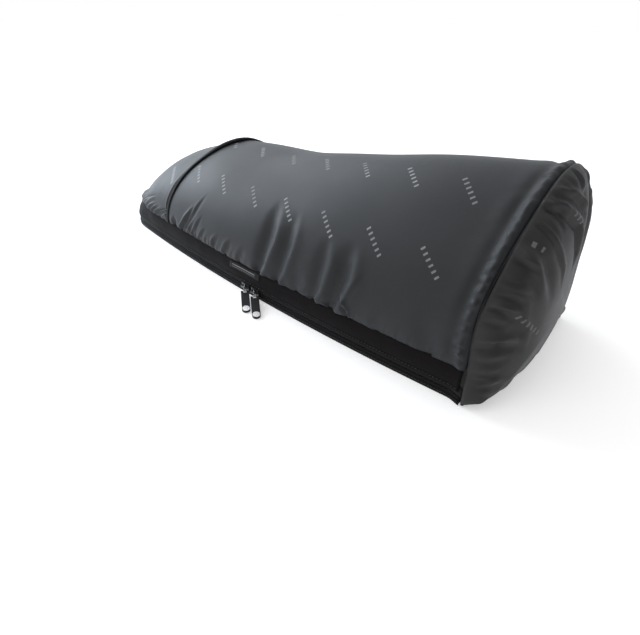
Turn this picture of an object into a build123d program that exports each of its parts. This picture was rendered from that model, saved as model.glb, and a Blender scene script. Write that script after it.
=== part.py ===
from build123d import *
import os
from math import acos, asin, cos, degrees, radians, sin, sqrt

# Soft padded zip sleeve, tapered from a domed end cap to a narrow nose. It lies on its flat
# base panel. The nose points to -X and the end cap to +X. The zip front faces -Y and +Z is
# up. The origin is on the floor, on the centre line, halfway between the nose tip and the
# seam of the end cap. Lengths are millimetres and angles are degrees.

# Plan outline
bag_length = 577.0            # nose tip to end cap seam
widest_half_width = 110.0     # centre line to the long side, at its widest
widest_from_nose = 320.0      # where the long side is widest
side_radius = 2700.0          # plan radius of the long sides
nose_corner_radius = 66.0     # plan radius of the two nose corners

# Height of the dome, as (distance from the nose tip, height); the seam end has its own value
strip_top = 33.5              # top of the straight side strip
bell_height = 173.0           # top of the dome at the end cap seam
dome_heights = [
    (0, 36), (20, 45), (40, 57), (72, 86), (125, 110),
    (190, 123), (290, 131), (385, 144), (480, 160),
]

# End cap
cap_bulge = 28.0              # how far the cap stands past its seam
cap_round_in = 54.0           # how far its edge rounds in towards the middle
cap_bottom_slope = 52.0       # how steeply its underside rises from the hinge seam
cap_side_rise = 16.0          # how much the straight lower wall grows towards the middle

# Layers, from the outside in
panel_thickness = 0.8         # satin outer panel
pocket_back_thickness = 0.6   # panel under the slip pocket
foam_thickness = 5.8          # padding of the dome and of the cap
lining_thickness = 0.6        # lining of the dome and of the cap
layer_gap = 0.1               # clearance between neighbouring layers
dome_foam_inset = 1.8         # outer face of the padding, in from the bag's outside

# Base panel
base_shell_thickness = 1.0
base_foam_thickness = 6.0
base_lining_thickness = 0.8
base_rim_foam_height = 2.5    # thinner padding under the zip

# Side strip and zip
strip_thickness = 0.9
strip_inset = 0.1             # outer face of the strip, in from the outline
strip_bottom = 12.2           # lower edge of the strip, above the zip
binding_height = 4.0          # bound edge of the base panel
binding_thickness = 1.0
zip_height = 8.0              # middle of the zip above the floor
zip_gap = 1.0                 # space between the two coil rows
tape_thickness = 0.6
lid_tape_top = 17.0
coil_thickness = 2.2
coil_width = 2.4
zip_stop_length = 4.0
zip_stop_thickness = 1.2
zip_stop_from_end = 4.0

# Seam on which the lid and the cap swing up
hinge_seam_radius = 2.0
hinge_clearance = 0.3
seam_roll_width = 5.0         # rolled seam round the end cap
seam_roll_height = 2.2
seam_roll_clearance = 0.4
seam_roll_bottom = 4.8

# Slip pocket on the nose
mouth_side_from_nose = 143.0  # mouth of the pocket where it meets the strip
mouth_top_from_nose = 174.0   # mouth of the pocket on the centre line
mouth_flank_from_nose = 151.0
mouth_flank_offset = 62.0     # how far from the centre line the mouth has that place
pocket_binding_width = 4.0
pocket_binding_stand = 1.0    # how far the binding stands proud of the panel

# Woven side label
label_from_nose = 283.0
label_length = 44.0
label_end_length = 8.0
label_width = 6.6
label_thickness = 0.6
label_bottom = 25.0

# Zip sliders, two that meet at the middle of the front
nose_slider_from_nose = 307.5
slider_spacing = 16.5
slider_length = 12.0
slider_plate_height = 7.2
slider_plate_stand = 1.0      # outer face of the slider, out from the outline
slider_plate_inset = 0.9      # inner face of its outer plate
slider_inner_thickness = 1.5
slider_clearance = 0.2        # running clearance to the coil
slider_web_thickness = 0.6
slider_web_length = 3.0
slider_lip_thickness = 0.8
slider_lip_clearance = 0.3
crown_length = 9.0
crown_foot_length = 1.8
crown_hole_height = 1.6
crown_bar_thickness = 1.2
crown_width = 2.4

# Pulls: a wire link, a moulded tab and a round inlay
pull_angle = 36.0             # between the long side and the pull, seen from above
link_wire = 1.2
link_half_spread = 2.6        # centre line of each arm above and below the crown
link_block_from_crown = 9.4
link_block_length = 1.2
link_neck_height = 2.6
link_neck_width = 3.2
link_reach = 13.0             # crown to the cross pin
pin_diameter = 1.6
pin_length = 7.6
tab_length = 31.0             # cross pin to the tip
tab_width = 9.0
tab_thickness = 2.4
tab_boss_radius = 1.9
tab_pin_clearance = 0.05
tab_notch_clearance = 0.3
tab_tip_height = 0.3          # lowest point of the tip above the floor
disc_diameter = 8.0
disc_thickness = 0.9
disc_recess = 0.6
disc_clearance = 0.1
disc_edge = 0.5               # rim of the tab past the inlay

# Values that follow from those above
nose_x = -bag_length / 2
side_centre_offset = side_radius - widest_half_width
corner_centre_to_side = side_radius - nose_corner_radius
corner_to_widest = widest_from_nose - nose_corner_radius
nose_half_flat = sqrt(corner_centre_to_side**2 - corner_to_widest**2) - side_centre_offset
tangent_from_nose = nose_corner_radius * (1 - corner_to_widest / corner_centre_to_side)
tangent_angle = degrees(acos((nose_corner_radius - tangent_from_nose) / nose_corner_radius))
tape_inset = strip_inset + strip_thickness + layer_gap
coil_inset = tape_inset + tape_thickness
coil_inner_inset = coil_inset + coil_thickness
lid_edge = zip_height + zip_gap / 2
base_edge = zip_height - zip_gap / 2
base_end = bag_length - hinge_seam_radius - hinge_clearance
lid_end = bag_length - hinge_clearance
cap_start = bag_length + hinge_clearance
pocket_back_inset = panel_thickness + layer_gap
dome_lining_inset = dome_foam_inset + foam_thickness + layer_gap
crown_hole_middle = slider_plate_stand + crown_hole_height / 2
tab_droop = degrees(asin((zip_height - tab_tip_height - tab_thickness / 2) / tab_length))
slider_places = [
    ("nose", nose_slider_from_nose, 1),
    ("bell", nose_slider_from_nose + slider_spacing, -1),
]
everywhere = 4 * bag_length


# Point of the outline on a nose corner; the angle runs from the tip to the long side.
def corner_point(angle, inset):
    reach = nose_corner_radius - inset
    along = nose_corner_radius - reach * cos(radians(angle))
    return (along, nose_half_flat + reach * sin(radians(angle)))


# Point of the outline on a long side.
def side_point(from_nose, inset):
    reach = side_radius - inset
    return (from_nose, sqrt(reach**2 - (from_nose - widest_from_nose) ** 2) - side_centre_offset)


# Height of the dome on the centre line.
def dome_height(from_nose):
    points = dome_heights + [(bag_length, bell_height)]
    for (start, low), (end, high) in zip(points, points[1:]):
        if from_nose <= end:
            return low + (high - low) * (from_nose - start) / (end - start)
    return bell_height


# D-shaped cross section, standing across the bag.
def section_face(from_nose, half_width, bottom, spring, top):
    plane = Plane(origin=(nose_x + from_nose, 0, 0), x_dir=(0, 1, 0), z_dir=(1, 0, 0))
    right = EllipticalCenterArc((0, spring), half_width, top - spring, start_angle=0, arc_size=90)
    left = EllipticalCenterArc((0, spring), half_width, top - spring, start_angle=90, arc_size=90)
    corners = [(-half_width, spring), (-half_width, bottom), (half_width, bottom), (half_width, spring)]
    walls = Polyline(*corners)
    return plane * make_face(right + left + walls)


# The whole bag's outside, moved in by an inset, up to the seam of the cap.
def bag_body(inset):
    corner_steps = 8
    side_steps = 12
    sections = []
    for step in range(corner_steps + 1):
        angle = tangent_angle * step / corner_steps
        place, half_width = corner_point(angle, inset)
        top = dome_height(corner_point(angle, 0)[0]) - inset
        sections.append(section_face(place, half_width, 0, strip_top - inset, top))
    for step in range(1, side_steps + 1):
        place = tangent_from_nose + (bag_length - tangent_from_nose) * step / side_steps
        half_width = side_point(place, inset)[1]
        top = dome_height(place) - inset
        sections.append(section_face(place, half_width, 0, strip_top - inset, top))
    return loft(sections, ruled=True)


# The bulging end cap's outside, moved in by an inset, from its seam outwards.
def cap_body(inset):
    steps = 7
    full_angle = 78.0
    end_half_width = side_point(bag_length, 0)[1]
    bottom = hinge_seam_radius * 2 + hinge_clearance
    slope = sin(radians(cap_bottom_slope)) / cos(radians(cap_bottom_slope))
    sections = []
    for step in range(steps + 1):
        angle = radians(full_angle * step / steps)
        past_seam = (cap_bulge - inset) * sin(angle) / sin(radians(full_angle))
        round_in = cap_round_in * (1 - cos(angle)) + inset
        rise = cap_side_rise * past_seam / cap_bulge
        low = bottom + past_seam * slope + inset / cos(radians(cap_bottom_slope))
        spring = max(strip_top + rise - inset, low + layer_gap)
        place = cap_start + past_seam
        half_width = end_half_width - round_in
        sections.append(section_face(place, half_width, low, spring, bell_height - round_in))
    return loft(sections, ruled=True)


# The plan outline moved in by an inset, cut square at the cap end.
def plan_face(inset, end_from_nose):
    turn = corner_point(tangent_angle, inset)
    turn_middle = corner_point(tangent_angle / 2, inset)
    flat = corner_point(0, inset)
    side_end = side_point(end_from_nose, inset)
    side_middle = side_point((turn[0] + end_from_nose) / 2, inset)
    back = [flat, turn_middle, turn, side_middle, side_end]
    front = [(x, -y) for x, y in back]
    outline = Line(front[0], back[0]) + Line(back[4], front[4])
    for points in (back, front):
        outline += ThreePointArc(points[0], points[1], points[2])
        outline += ThreePointArc(points[2], points[3], points[4])
    return Pos(nose_x, 0, 0) * make_face(outline)


# Flat layer with the bag's plan outline.
def slab(inset, end_from_nose, bottom, top):
    return Pos(0, 0, bottom) * extrude(plan_face(inset, end_from_nose), top - bottom)


# Upright band that follows both sides and the nose.
def band(inset, thickness, end_from_nose, bottom, top):
    return slab(inset, end_from_nose, bottom, top) - slab(inset + thickness, end_from_nose, bottom, top)


# Everything over a height.
def above(height):
    return Pos(0, 0, height + everywhere / 2) * Box(everywhere, everywhere, everywhere)


# Everything on the nose side of a place.
def before(from_nose):
    return Pos(nose_x + from_nose - everywhere / 2, 0, 0) * Box(everywhere, everywhere, everywhere)


# Everything on the cap side of the pocket's mouth, moved by a shift along the bag.
def past_mouth(shift):
    side = mouth_side_from_nose + shift
    flank = mouth_flank_from_nose + shift
    top = mouth_top_from_nose + shift
    reach = widest_half_width + cap_bulge
    front_half = [(side, -reach), (flank, -mouth_flank_offset)]
    back_half = [(flank, mouth_flank_offset), (side, reach)]
    mouth = Spline(*front_half, (top, 0), *back_half)
    end = bag_length + cap_bulge
    edges = mouth + Polyline((side, reach), (end, reach), (end, -reach), (side, -reach))
    return Pos(nose_x, 0, 0) * extrude(make_face(edges), everywhere)


# Place on the curved front: X along the zip towards the cap, -Y straight out, Z up.
def at_front(from_nose):
    turn = degrees(asin((from_nose - widest_from_nose) / side_radius))
    centre = Pos(nose_x + widest_from_nose, side_centre_offset, 0)
    return centre * Rot(0, 0, turn) * Pos(0, -side_radius, 0)


# Box at the front: its middle along the zip, and how far out from the outline it runs.
def front_box(along, length, out_from, out_to, bottom, top):
    middle = Pos(along, -(out_from + out_to) / 2, (bottom + top) / 2)
    return middle * Box(length, out_to - out_from, top - bottom)


# Flat base panel with its bound edge and the lower half of the zip.
def make_base():
    shell_top = base_shell_thickness
    foam_top = shell_top + layer_gap + base_foam_thickness
    rim_inset = coil_inset + layer_gap
    inner_inset = coil_inner_inset + slider_clearance + slider_inner_thickness + 2 * layer_gap
    foam = slab(rim_inset, base_end, shell_top + layer_gap, shell_top + layer_gap + base_rim_foam_height)
    foam += slab(inner_inset, base_end, shell_top + layer_gap, foam_top)
    lining_bottom = foam_top + layer_gap
    coil = band(coil_inset, coil_thickness, base_end, base_edge - coil_width, base_edge)
    return {
        "base_shell": slab(binding_thickness + layer_gap, base_end, 0, shell_top),
        "base_foam": foam,
        "base_lining": slab(inner_inset, base_end, lining_bottom, lining_bottom + base_lining_thickness),
        "base_binding": band(0, binding_thickness, base_end, 0, binding_height),
        "base_zip_tape": band(tape_inset, tape_thickness, base_end, shell_top + layer_gap, base_edge),
        "base_zip_coil": coil,
        "hinge_seam": make_hinge_seam(),
        "zip_end_stops": make_zip_stops(),
    }


# Rolled seam across the bag, between the base panel and the cap.
def make_hinge_seam():
    length = 2 * (side_point(bag_length, 0)[1] - binding_thickness)
    roll = Rot(90, 0, 0) * Cylinder(hinge_seam_radius, length)
    return Pos(nose_x + bag_length, 0, hinge_seam_radius) * roll


# Crimped stop at each end of the lower coil.
def make_zip_stops():
    place = base_end - zip_stop_from_end - zip_stop_length / 2
    out_to = -coil_inner_inset
    out_from = out_to - zip_stop_thickness
    stop = front_box(0, zip_stop_length, out_from, out_to, base_edge - coil_width, base_edge)
    front_stop = at_front(place) * stop
    return front_stop + mirror(front_stop, about=Plane.XZ)


# Top panel, pocket, padding, lining, strip and the upper half of the zip.
def make_dome():
    panel_bottom = strip_top + layer_gap
    dome_top = above(panel_bottom) & before(lid_end)
    panel_inside = bag_body(panel_thickness)
    panel = (bag_body(0) - panel_inside) & dome_top & past_mouth(pocket_binding_width / 2 + layer_gap)
    binding = (bag_body(-pocket_binding_stand) - panel_inside) & dome_top
    binding = (binding & past_mouth(-pocket_binding_width / 2)) - past_mouth(pocket_binding_width / 2)
    pocket_back = bag_body(pocket_back_inset) - bag_body(pocket_back_inset + pocket_back_thickness)
    lower_part = above(strip_bottom) & before(lid_end)
    foam = bag_body(dome_foam_inset) - bag_body(dome_foam_inset + foam_thickness)
    lining = bag_body(dome_lining_inset) - bag_body(dome_lining_inset + lining_thickness)
    return {
        "top_panel": panel,
        "pocket_binding": binding,
        "pocket_back": pocket_back & dome_top,
        "lid_foam": foam & lower_part,
        "lid_lining": lining & lower_part,
        "lid_strip": band(strip_inset, strip_thickness, lid_end, strip_bottom, strip_top),
        "lid_zip_tape": band(tape_inset, tape_thickness, lid_end, lid_edge, lid_tape_top),
        "lid_zip_coil": band(coil_inset, coil_thickness, lid_end, lid_edge, lid_edge + coil_width),
        "side_label": make_label(),
    }


# Small woven label on the strip, with a plain square end.
def make_label():
    middle = label_from_nose + (label_length + label_end_length) / 2
    out_from = layer_gap - strip_inset
    out_to = out_from + label_thickness
    size = label_length + label_end_length
    label = front_box(0, size, out_from, out_to, label_bottom, label_bottom + label_width)
    return at_front(middle) * label


# End cap and the rolled seam round it.
def make_cap():
    outer = cap_body(0)
    foam_inset = panel_thickness + layer_gap
    lining_inset = foam_inset + foam_thickness + layer_gap
    end_half_width = side_point(bag_length, 0)[1]
    clear = seam_roll_clearance
    proud = clear + seam_roll_height
    ring = section_face(bag_length, end_half_width + proud, 0, strip_top, bell_height + proud)
    hole = section_face(bag_length, end_half_width + clear, 0, strip_top, bell_height + clear)
    roll = extrude(ring - hole, seam_roll_width / 2, both=True)
    return {
        "cap_shell": outer - cap_body(panel_thickness),
        "cap_foam": cap_body(foam_inset) - cap_body(foam_inset + foam_thickness),
        "cap_lining": cap_body(lining_inset) - cap_body(lining_inset + lining_thickness),
        "cap_seam_roll": roll & above(seam_roll_bottom),
    }


# Slider and its crown; side is 1 when the divider faces the cap and -1 the other way.
def make_slider(side):
    plate_bottom = zip_height - slider_plate_height / 2
    plate_top = zip_height + slider_plate_height / 2
    inner_out = -coil_inner_inset - slider_clearance
    inner_in = inner_out - slider_inner_thickness
    lip_top = base_edge - coil_width - slider_lip_clearance
    lip_bottom = lip_top - slider_lip_thickness
    web_along = side * (slider_length - slider_web_length) / 2
    web_half = slider_web_thickness / 2
    outer = front_box(0, slider_length, -slider_plate_inset, slider_plate_stand, plate_bottom, plate_top)
    inner = front_box(0, slider_length, inner_in, inner_out, lip_bottom, plate_top)
    lip_out = -coil_inset - slider_lip_clearance
    lip = front_box(0, slider_length, inner_in, lip_out, lip_bottom, lip_top)
    web_bottom = zip_height - web_half
    web_top = zip_height + web_half
    web = front_box(web_along, slider_web_length, inner_in, slider_plate_stand, web_bottom, web_top)
    crown_low = zip_height - crown_width / 2
    crown_high = zip_height + crown_width / 2
    bar_from = slider_plate_stand + crown_hole_height
    bar_to = bar_from + crown_bar_thickness
    crown = front_box(0, crown_length, slider_plate_inset, bar_to, crown_low, crown_high)
    hole_length = crown_length - 2 * crown_foot_length
    crown -= front_box(0, hole_length, slider_plate_inset, bar_from, crown_low, crown_high)
    return outer + inner + lip + web + crown


# Place of a pull at the crown: X along the pull, Z up.
def pull_place():
    return Pos(0, -crown_hole_middle, zip_height) * Rot(0, 0, -pull_angle)


# Wire loop through the crown, closed by a neck with the cross pin.
def make_link():
    reach = link_block_from_crown + link_block_length
    link = Cylinder(link_wire / 2, 2 * link_half_spread)
    for level in (-link_half_spread, link_half_spread):
        arm = Rot(0, 90, 0) * Cylinder(link_wire / 2, reach)
        link += Pos(reach / 2, 0, level) * arm
        link += Pos(0, 0, level) * Sphere(link_wire / 2)
    block = Box(link_block_length, link_neck_width, 2 * link_half_spread + link_wire)
    link += Pos(link_block_from_crown + link_block_length / 2, 0, 0) * block
    neck_length = link_reach - link_block_from_crown
    neck = Box(neck_length, link_neck_width, link_neck_height)
    link += Pos(link_block_from_crown + neck_length / 2, 0, 0) * neck
    link += Pos(link_reach, 0, 0) * Rot(90, 0, 0) * Cylinder(link_neck_height / 2, link_neck_width)
    link += Pos(link_reach, 0, 0) * Rot(90, 0, 0) * Cylinder(pin_diameter / 2, pin_length)
    return link


# Place of a tab at the cross pin: X along the tab, which droops to the floor.
def tab_place():
    return Pos(link_reach, 0, 0) * Rot(0, tab_droop, 0)


# Distance from the cross pin to the middle of the inlay.
def disc_centre():
    return tab_length - disc_edge - disc_diameter / 2


# Moulded tab with a round tip, a fork round the cross pin and a seat for the inlay.
def make_tab():
    half = tab_width / 2
    straight = tab_length - half
    tab = Pos(straight / 2, 0, 0) * Box(straight, tab_width, tab_thickness)
    tab += Pos(straight, 0, 0) * Cylinder(half, tab_thickness)
    tab += Rot(90, 0, 0) * Cylinder(tab_boss_radius, tab_width)
    tab -= Rot(90, 0, 0) * Cylinder(pin_diameter / 2 + tab_pin_clearance, tab_width)
    notch_width = link_neck_width + 2 * tab_notch_clearance
    notch_length = tab_boss_radius + link_neck_height / 2 + tab_notch_clearance
    notch_middle = link_neck_height / 2 + tab_notch_clearance - notch_length / 2
    notch = Pos(notch_middle, 0, 0) * Box(notch_length, notch_width, 2 * tab_boss_radius)
    seat = Cylinder(disc_diameter / 2 + disc_clearance, disc_recess)
    seat = Pos(disc_centre(), 0, tab_thickness / 2 - disc_recess / 2) * seat
    return tab - notch - seat


# Plain round metal inlay.
def make_disc():
    middle = tab_thickness / 2 - disc_recess + disc_thickness / 2
    return Pos(disc_centre(), 0, middle) * Cylinder(disc_diameter / 2, disc_thickness)


# Both sliders with their links, tabs and inlays.
def make_pulls():
    pieces = {}
    for name, from_nose, side in slider_places:
        place = at_front(from_nose)
        pull = place * pull_place()
        pieces[f"slider_{name}_side"] = place * make_slider(side)
        pieces[f"pull_link_{name}_side"] = pull * make_link()
        pieces[f"pull_tab_{name}_side"] = pull * tab_place() * make_tab()
        pieces[f"pull_disc_{name}_side"] = pull * tab_place() * make_disc()
    return pieces


# Write one STEP file for each sub-part.
def main():
    os.makedirs("parts", exist_ok=True)
    pieces = {**make_base(), **make_dome(), **make_cap(), **make_pulls()}
    for name, piece in pieces.items():
        export_step(piece, f"parts/{name}.step")
    print("front arc centre", nose_x + widest_from_nose, side_centre_offset, "tab droop", tab_droop)
    for name, from_nose, side in slider_places:
        crown = (at_front(from_nose) * pull_place()).position
        pin = (at_front(from_nose) * pull_place() * tab_place()).position
        print(name, "crown", crown, "pin", pin)


main()
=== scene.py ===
import math
import random

import bmesh
import bpy
import numpy as np
from mathutils import Matrix, Vector, noise


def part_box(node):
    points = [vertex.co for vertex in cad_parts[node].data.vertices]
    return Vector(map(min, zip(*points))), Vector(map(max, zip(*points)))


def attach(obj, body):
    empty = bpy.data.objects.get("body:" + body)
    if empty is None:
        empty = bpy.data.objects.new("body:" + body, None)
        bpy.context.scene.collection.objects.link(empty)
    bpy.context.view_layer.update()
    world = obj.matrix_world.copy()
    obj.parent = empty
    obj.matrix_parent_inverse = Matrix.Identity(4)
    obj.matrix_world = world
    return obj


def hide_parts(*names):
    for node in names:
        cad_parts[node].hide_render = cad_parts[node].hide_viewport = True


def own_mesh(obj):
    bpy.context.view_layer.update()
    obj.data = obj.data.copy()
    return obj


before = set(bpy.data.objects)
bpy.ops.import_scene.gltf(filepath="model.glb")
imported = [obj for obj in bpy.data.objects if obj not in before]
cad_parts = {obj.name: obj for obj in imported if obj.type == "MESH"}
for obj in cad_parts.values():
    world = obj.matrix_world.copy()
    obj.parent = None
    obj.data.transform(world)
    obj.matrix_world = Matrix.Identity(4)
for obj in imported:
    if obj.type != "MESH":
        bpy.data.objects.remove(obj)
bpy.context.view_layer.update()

context = bpy.context
context.scene.view_settings.view_transform = "Standard"

# Places on the bag are given in millimetres: along it from the nose tip, across it, and up.
# They become metres in the shared frame only when a mesh is made.
bag = {
    "length": 577.0,            # nose tip to the seam of the end cap
    "noseTip": -288.5,          # where the nose tip is in the frame
    "sideRadius": 2700.0,       # long sides in plan
    "sideOffset": 2590.0,
    "widestAt": 320.0,
    "noseRadius": 66.0,
    "noseFlat": 31.73,          # half of the straight part of the nose
    "noseTangent": 59.62,       # where the nose corner meets the long side
    "spring": 33.5,             # top of the side strip, where the dome springs
    "stripBottom": 12.2,
    "heights": ((0, 36), (20, 45), (40, 57), (72, 86), (125, 110), (190, 123), (290, 129.5),
                (385, 143), (480, 160), (577, 173)),
    "mouth": ((0, 174), (62, 151), (104, 143), (112, 142.5)),   # distance off centre, distance from the nose
    "crown": ((230, 0), (280, 1.0), (310, 2.5), (340, 3.6), (400, 4.4), (460, 5.8), (520, 6.2), (577, 6.5)),
    "noseLean": 8.5,            # how far the wall leans in round the nose
    "cornerFlare": 4.6,         # how far the lower front corner is pushed out by the cap
}


def smoothLine(where, knots):    # natural cubic through the knots
    x, y = np.array(knots, float).T
    count, step = len(x), np.diff(x)
    matrix, right = np.eye(count), np.zeros(count)
    for i in range(1, count - 1):
        matrix[i, i - 1:i + 2] = step[i - 1], 2 * (step[i - 1] + step[i]), step[i]
        right[i] = 6 * ((y[i + 1] - y[i]) / step[i] - (y[i] - y[i - 1]) / step[i - 1])
    bend = np.linalg.solve(matrix, right)
    where = np.clip(np.asarray(where, float), x[0], x[-1])
    k = np.clip(np.searchsorted(x, where) - 1, 0, count - 2)
    before, after, h = where - x[k], x[k + 1] - where, step[k]
    curve = (bend[k] * after ** 3 + bend[k + 1] * before ** 3) / (6 * h)
    return curve + (y[k] / h - bend[k] * h / 6) * after + (y[k + 1] / h - bend[k + 1] * h / 6) * before


def easeStep(value, low, high):
    t = np.clip((np.asarray(value, float) - low) / (high - low), 0, 1)
    return t * t * (3 - 2 * t)


def bump(value, middle, width):
    return np.exp(-((np.asarray(value, float) - middle) / width) ** 2)


def halfWidth(s):
    s = np.asarray(s, float)
    radius = bag["noseRadius"]
    corner = np.sqrt(np.clip(radius ** 2 - (radius - np.clip(s, 0, radius)) ** 2, 0, None)) + bag["noseFlat"]
    side = np.sqrt(bag["sideRadius"] ** 2 - (s - bag["widestAt"]) ** 2) - bag["sideOffset"]
    return np.where(s < bag["noseTangent"], corner, side)


def domeTop(s):
    return smoothLine(s, bag["heights"])


def mouthPlace(y):
    return smoothLine(np.sqrt(np.asarray(y) ** 2 + 14 ** 2) - 14, bag["mouth"])    # no sharp peak in the middle


def outlineLine(step, start=0.0, frontEnd=577.0, backEnd=577.0):
    # the plan outline from the front of the cap seam, round the nose, to the back of it
    r, flat, tangent = bag["noseRadius"], bag["noseFlat"], bag["noseTangent"]
    turn = math.acos((r - tangent) / r)
    places, normals = [], []
    for s in np.linspace(frontEnd, tangent, 400):
        y = float(halfWidth(s + 1e-6)) if s > tangent else math.sqrt(r * r - (r - s) ** 2) + flat
        places.append((s, -y))
        normals.append(((s - bag["widestAt"]) / bag["sideRadius"],
                        -(y + bag["sideOffset"]) / bag["sideRadius"]))
    for a in np.linspace(turn, 0, 60)[1:]:
        places.append((r - r * math.cos(a), -flat - r * math.sin(a)))
        normals.append((-math.cos(a), -math.sin(a)))
    for y in np.linspace(-flat, flat, 24)[1:-1]:
        places.append((0.0, y))
        normals.append((-1.0, 0.0))
    half = [i for i in range(len(places)) if places[i][1] < -flat + 1e-9]
    for i in reversed(half):
        if places[i][0] <= backEnd:
            places.append((places[i][0], -places[i][1]))
            normals.append((normals[i][0], -normals[i][1]))
    places, normals = np.array(places), np.array(normals)
    run = np.concatenate(([0], np.cumsum(np.hypot(*np.diff(places, axis=0).T))))
    at = np.linspace(start, run[-1], max(2, int(round((run[-1] - start) / step)) + 1))
    place = np.stack([np.interp(at, run, places[:, k]) for k in (0, 1)], 1)
    normal = np.stack([np.interp(at, run, normals[:, k]) for k in (0, 1)], 1)
    return place, normal / np.linalg.norm(normal, axis=1)[:, None], at


def inLine(values):    # places in a row, for noise along one direction
    return np.stack([values, values * 0, values * 0], 1)


def runLength(points):    # distance from the first point, at each point
    return np.concatenate(([0], np.cumsum(np.linalg.norm(np.diff(points, axis=0), axis=1))))


def softNoise(points, size, seed=0):    # smooth noise of about -1 to 1 at places in mm
    return np.array([noise.noise(Vector(p) / size + Vector((seed * 7.13, seed * 3.7, seed))) for p in points])


def settle(points):    # two slow changes of the whole shape: the nose wall leans in, a low corner is pushed out
    p = np.array(points, float).reshape(-1, 3)
    out = np.stack([np.minimum(p[:, 0] - bag["noseRadius"], 0),
                    p[:, 1] - np.clip(p[:, 1], -bag["noseFlat"], bag["noseFlat"])], 1)
    out /= np.maximum(np.linalg.norm(out, axis=1), 1e-6)[:, None]
    lean = (1 - easeStep(p[:, 0], 30, 100)) * easeStep(p[:, 2], 12, 34) * (1 - easeStep(p[:, 2], 46, 88))
    p[:, :2] -= out * (bag["noseLean"] * lean)[:, None]
    flare = easeStep(p[:, 0], 562, 580) * (1 - easeStep(p[:, 2], 10, 34)) * easeStep(-p[:, 1], 55, 95)
    p[:, 1] -= bag["cornerFlare"] * flare
    return p


def toFrame(points):
    return (settle(points) + (bag["noseTip"], 0, 0)) / 1000


def makePiece(name, points, faces, uv=None, closed=True):
    mesh = bpy.data.meshes.new(name)
    mesh.from_pydata(toFrame(points).tolist(), [], [list(map(int, f)) for f in faces])
    piece = bpy.data.objects.new(name, mesh)
    context.scene.collection.objects.link(piece)
    if uv is not None:
        layer = mesh.uv_layers.new(name="UVMap")
        loopVertex = np.zeros(len(mesh.loops), int)
        mesh.loops.foreach_get("vertex_index", loopVertex)
        layer.data.foreach_set("uv", (np.asarray(uv, float) / 1000)[loopVertex].ravel())
    if closed:
        work = bmesh.new()
        work.from_mesh(mesh)
        bmesh.ops.remove_doubles(work, verts=work.verts, dist=2e-6)
        bmesh.ops.recalc_face_normals(work, faces=work.faces)
        work.to_mesh(mesh)
        work.free()
    mesh.shade_smooth()
    return piece


def gridFaces(rows, columns, first=0, wrapRows=False):
    faces = []
    for i in range(rows if wrapRows else rows - 1):
        for j in range(columns - 1):
            a, b = i * columns + j + first, (i + 1) % rows * columns + j + first
            faces.append((a, a + 1, b + 1, b))
    return faces


def applyModifiers(piece):
    depsgraph = context.evaluated_depsgraph_get()
    result = bpy.data.meshes.new_from_object(piece.evaluated_get(depsgraph), depsgraph=depsgraph)
    piece.modifiers.clear()
    old = piece.data
    piece.data = result
    result.name = piece.name
    bpy.data.meshes.remove(old)
    piece.data.shade_smooth()
    return piece


def tubeFaces(count, sides, turned=False):    # closed loops of points joined in a row, with both ends filled
    faces = []
    for i in range(count - 1):
        for j in range(sides):
            a, b = i * sides + j, i * sides + (j + 1) % sides
            faces.append((a, b, b + sides, a + sides))
    first = tuple(range(sides))[::-1] if turned else tuple(range(sides))
    return faces + [first, tuple((count - 1) * sides + j for j in range(sides))]


def thicken(piece, thickness):    # gives a sheet its thickness in mm, inward
    thick = piece.modifiers.new("thickness", "SOLIDIFY")
    thick.thickness, thick.offset = thickness / 1000, -1
    applyModifiers(piece)


def sweepLoop(name, places, normals, profile):
    # a closed profile of (out, up) carried along the outline; profile(k) may change on the way
    rows = []
    for k in range(len(places)):
        loop = profile(k)
        rows.append([(places[k][0] + o * normals[k][0], places[k][1] + o * normals[k][1], z) for o, z in loop])
    rows = np.array(rows)
    count, sides = rows.shape[:2]
    run = runLength(rows[:, 0])
    girth = runLength(rows[0])
    uv = [(run[i], girth[j]) for i in range(count) for j in range(sides)]
    return makePiece(name, rows.reshape(-1, 3), tubeFaces(count, sides, turned=True), uv)


def vertexArray(mesh):
    data = np.zeros(len(mesh.vertices) * 3)
    mesh.vertices.foreach_get("co", data)
    return data.reshape(-1, 3)


def vertexNormals(mesh):
    data = np.zeros(len(mesh.vertices) * 3)
    mesh.vertices.foreach_get("normal", data)
    return data.reshape(-1, 3)


def vertexUv(mesh):    # one place on the sheet per vertex, in mm
    loops = np.zeros(len(mesh.loops), int)
    mesh.loops.foreach_get("vertex_index", loops)
    uv = np.zeros(len(mesh.loops) * 2)
    mesh.uv_layers[0].data.foreach_get("uv", uv)
    result = np.zeros((len(mesh.vertices), 2))
    result[loops] = uv.reshape(-1, 2) * 1000
    return result


def pushOut(mesh, distance):    # moves each vertex along its normal, distance in mm
    places = vertexArray(mesh) + vertexNormals(mesh) * (np.asarray(distance) / 1000)[:, None]
    mesh.vertices.foreach_set("co", places.ravel())
    mesh.update()


def foldRow(line, width, depth, lip, fade, side=1):    # fade is the share of the line at its start and end
    return {"line": line, "width": width, "depth": depth, "lip": lip, "fade": fade, "side": side}


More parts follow.
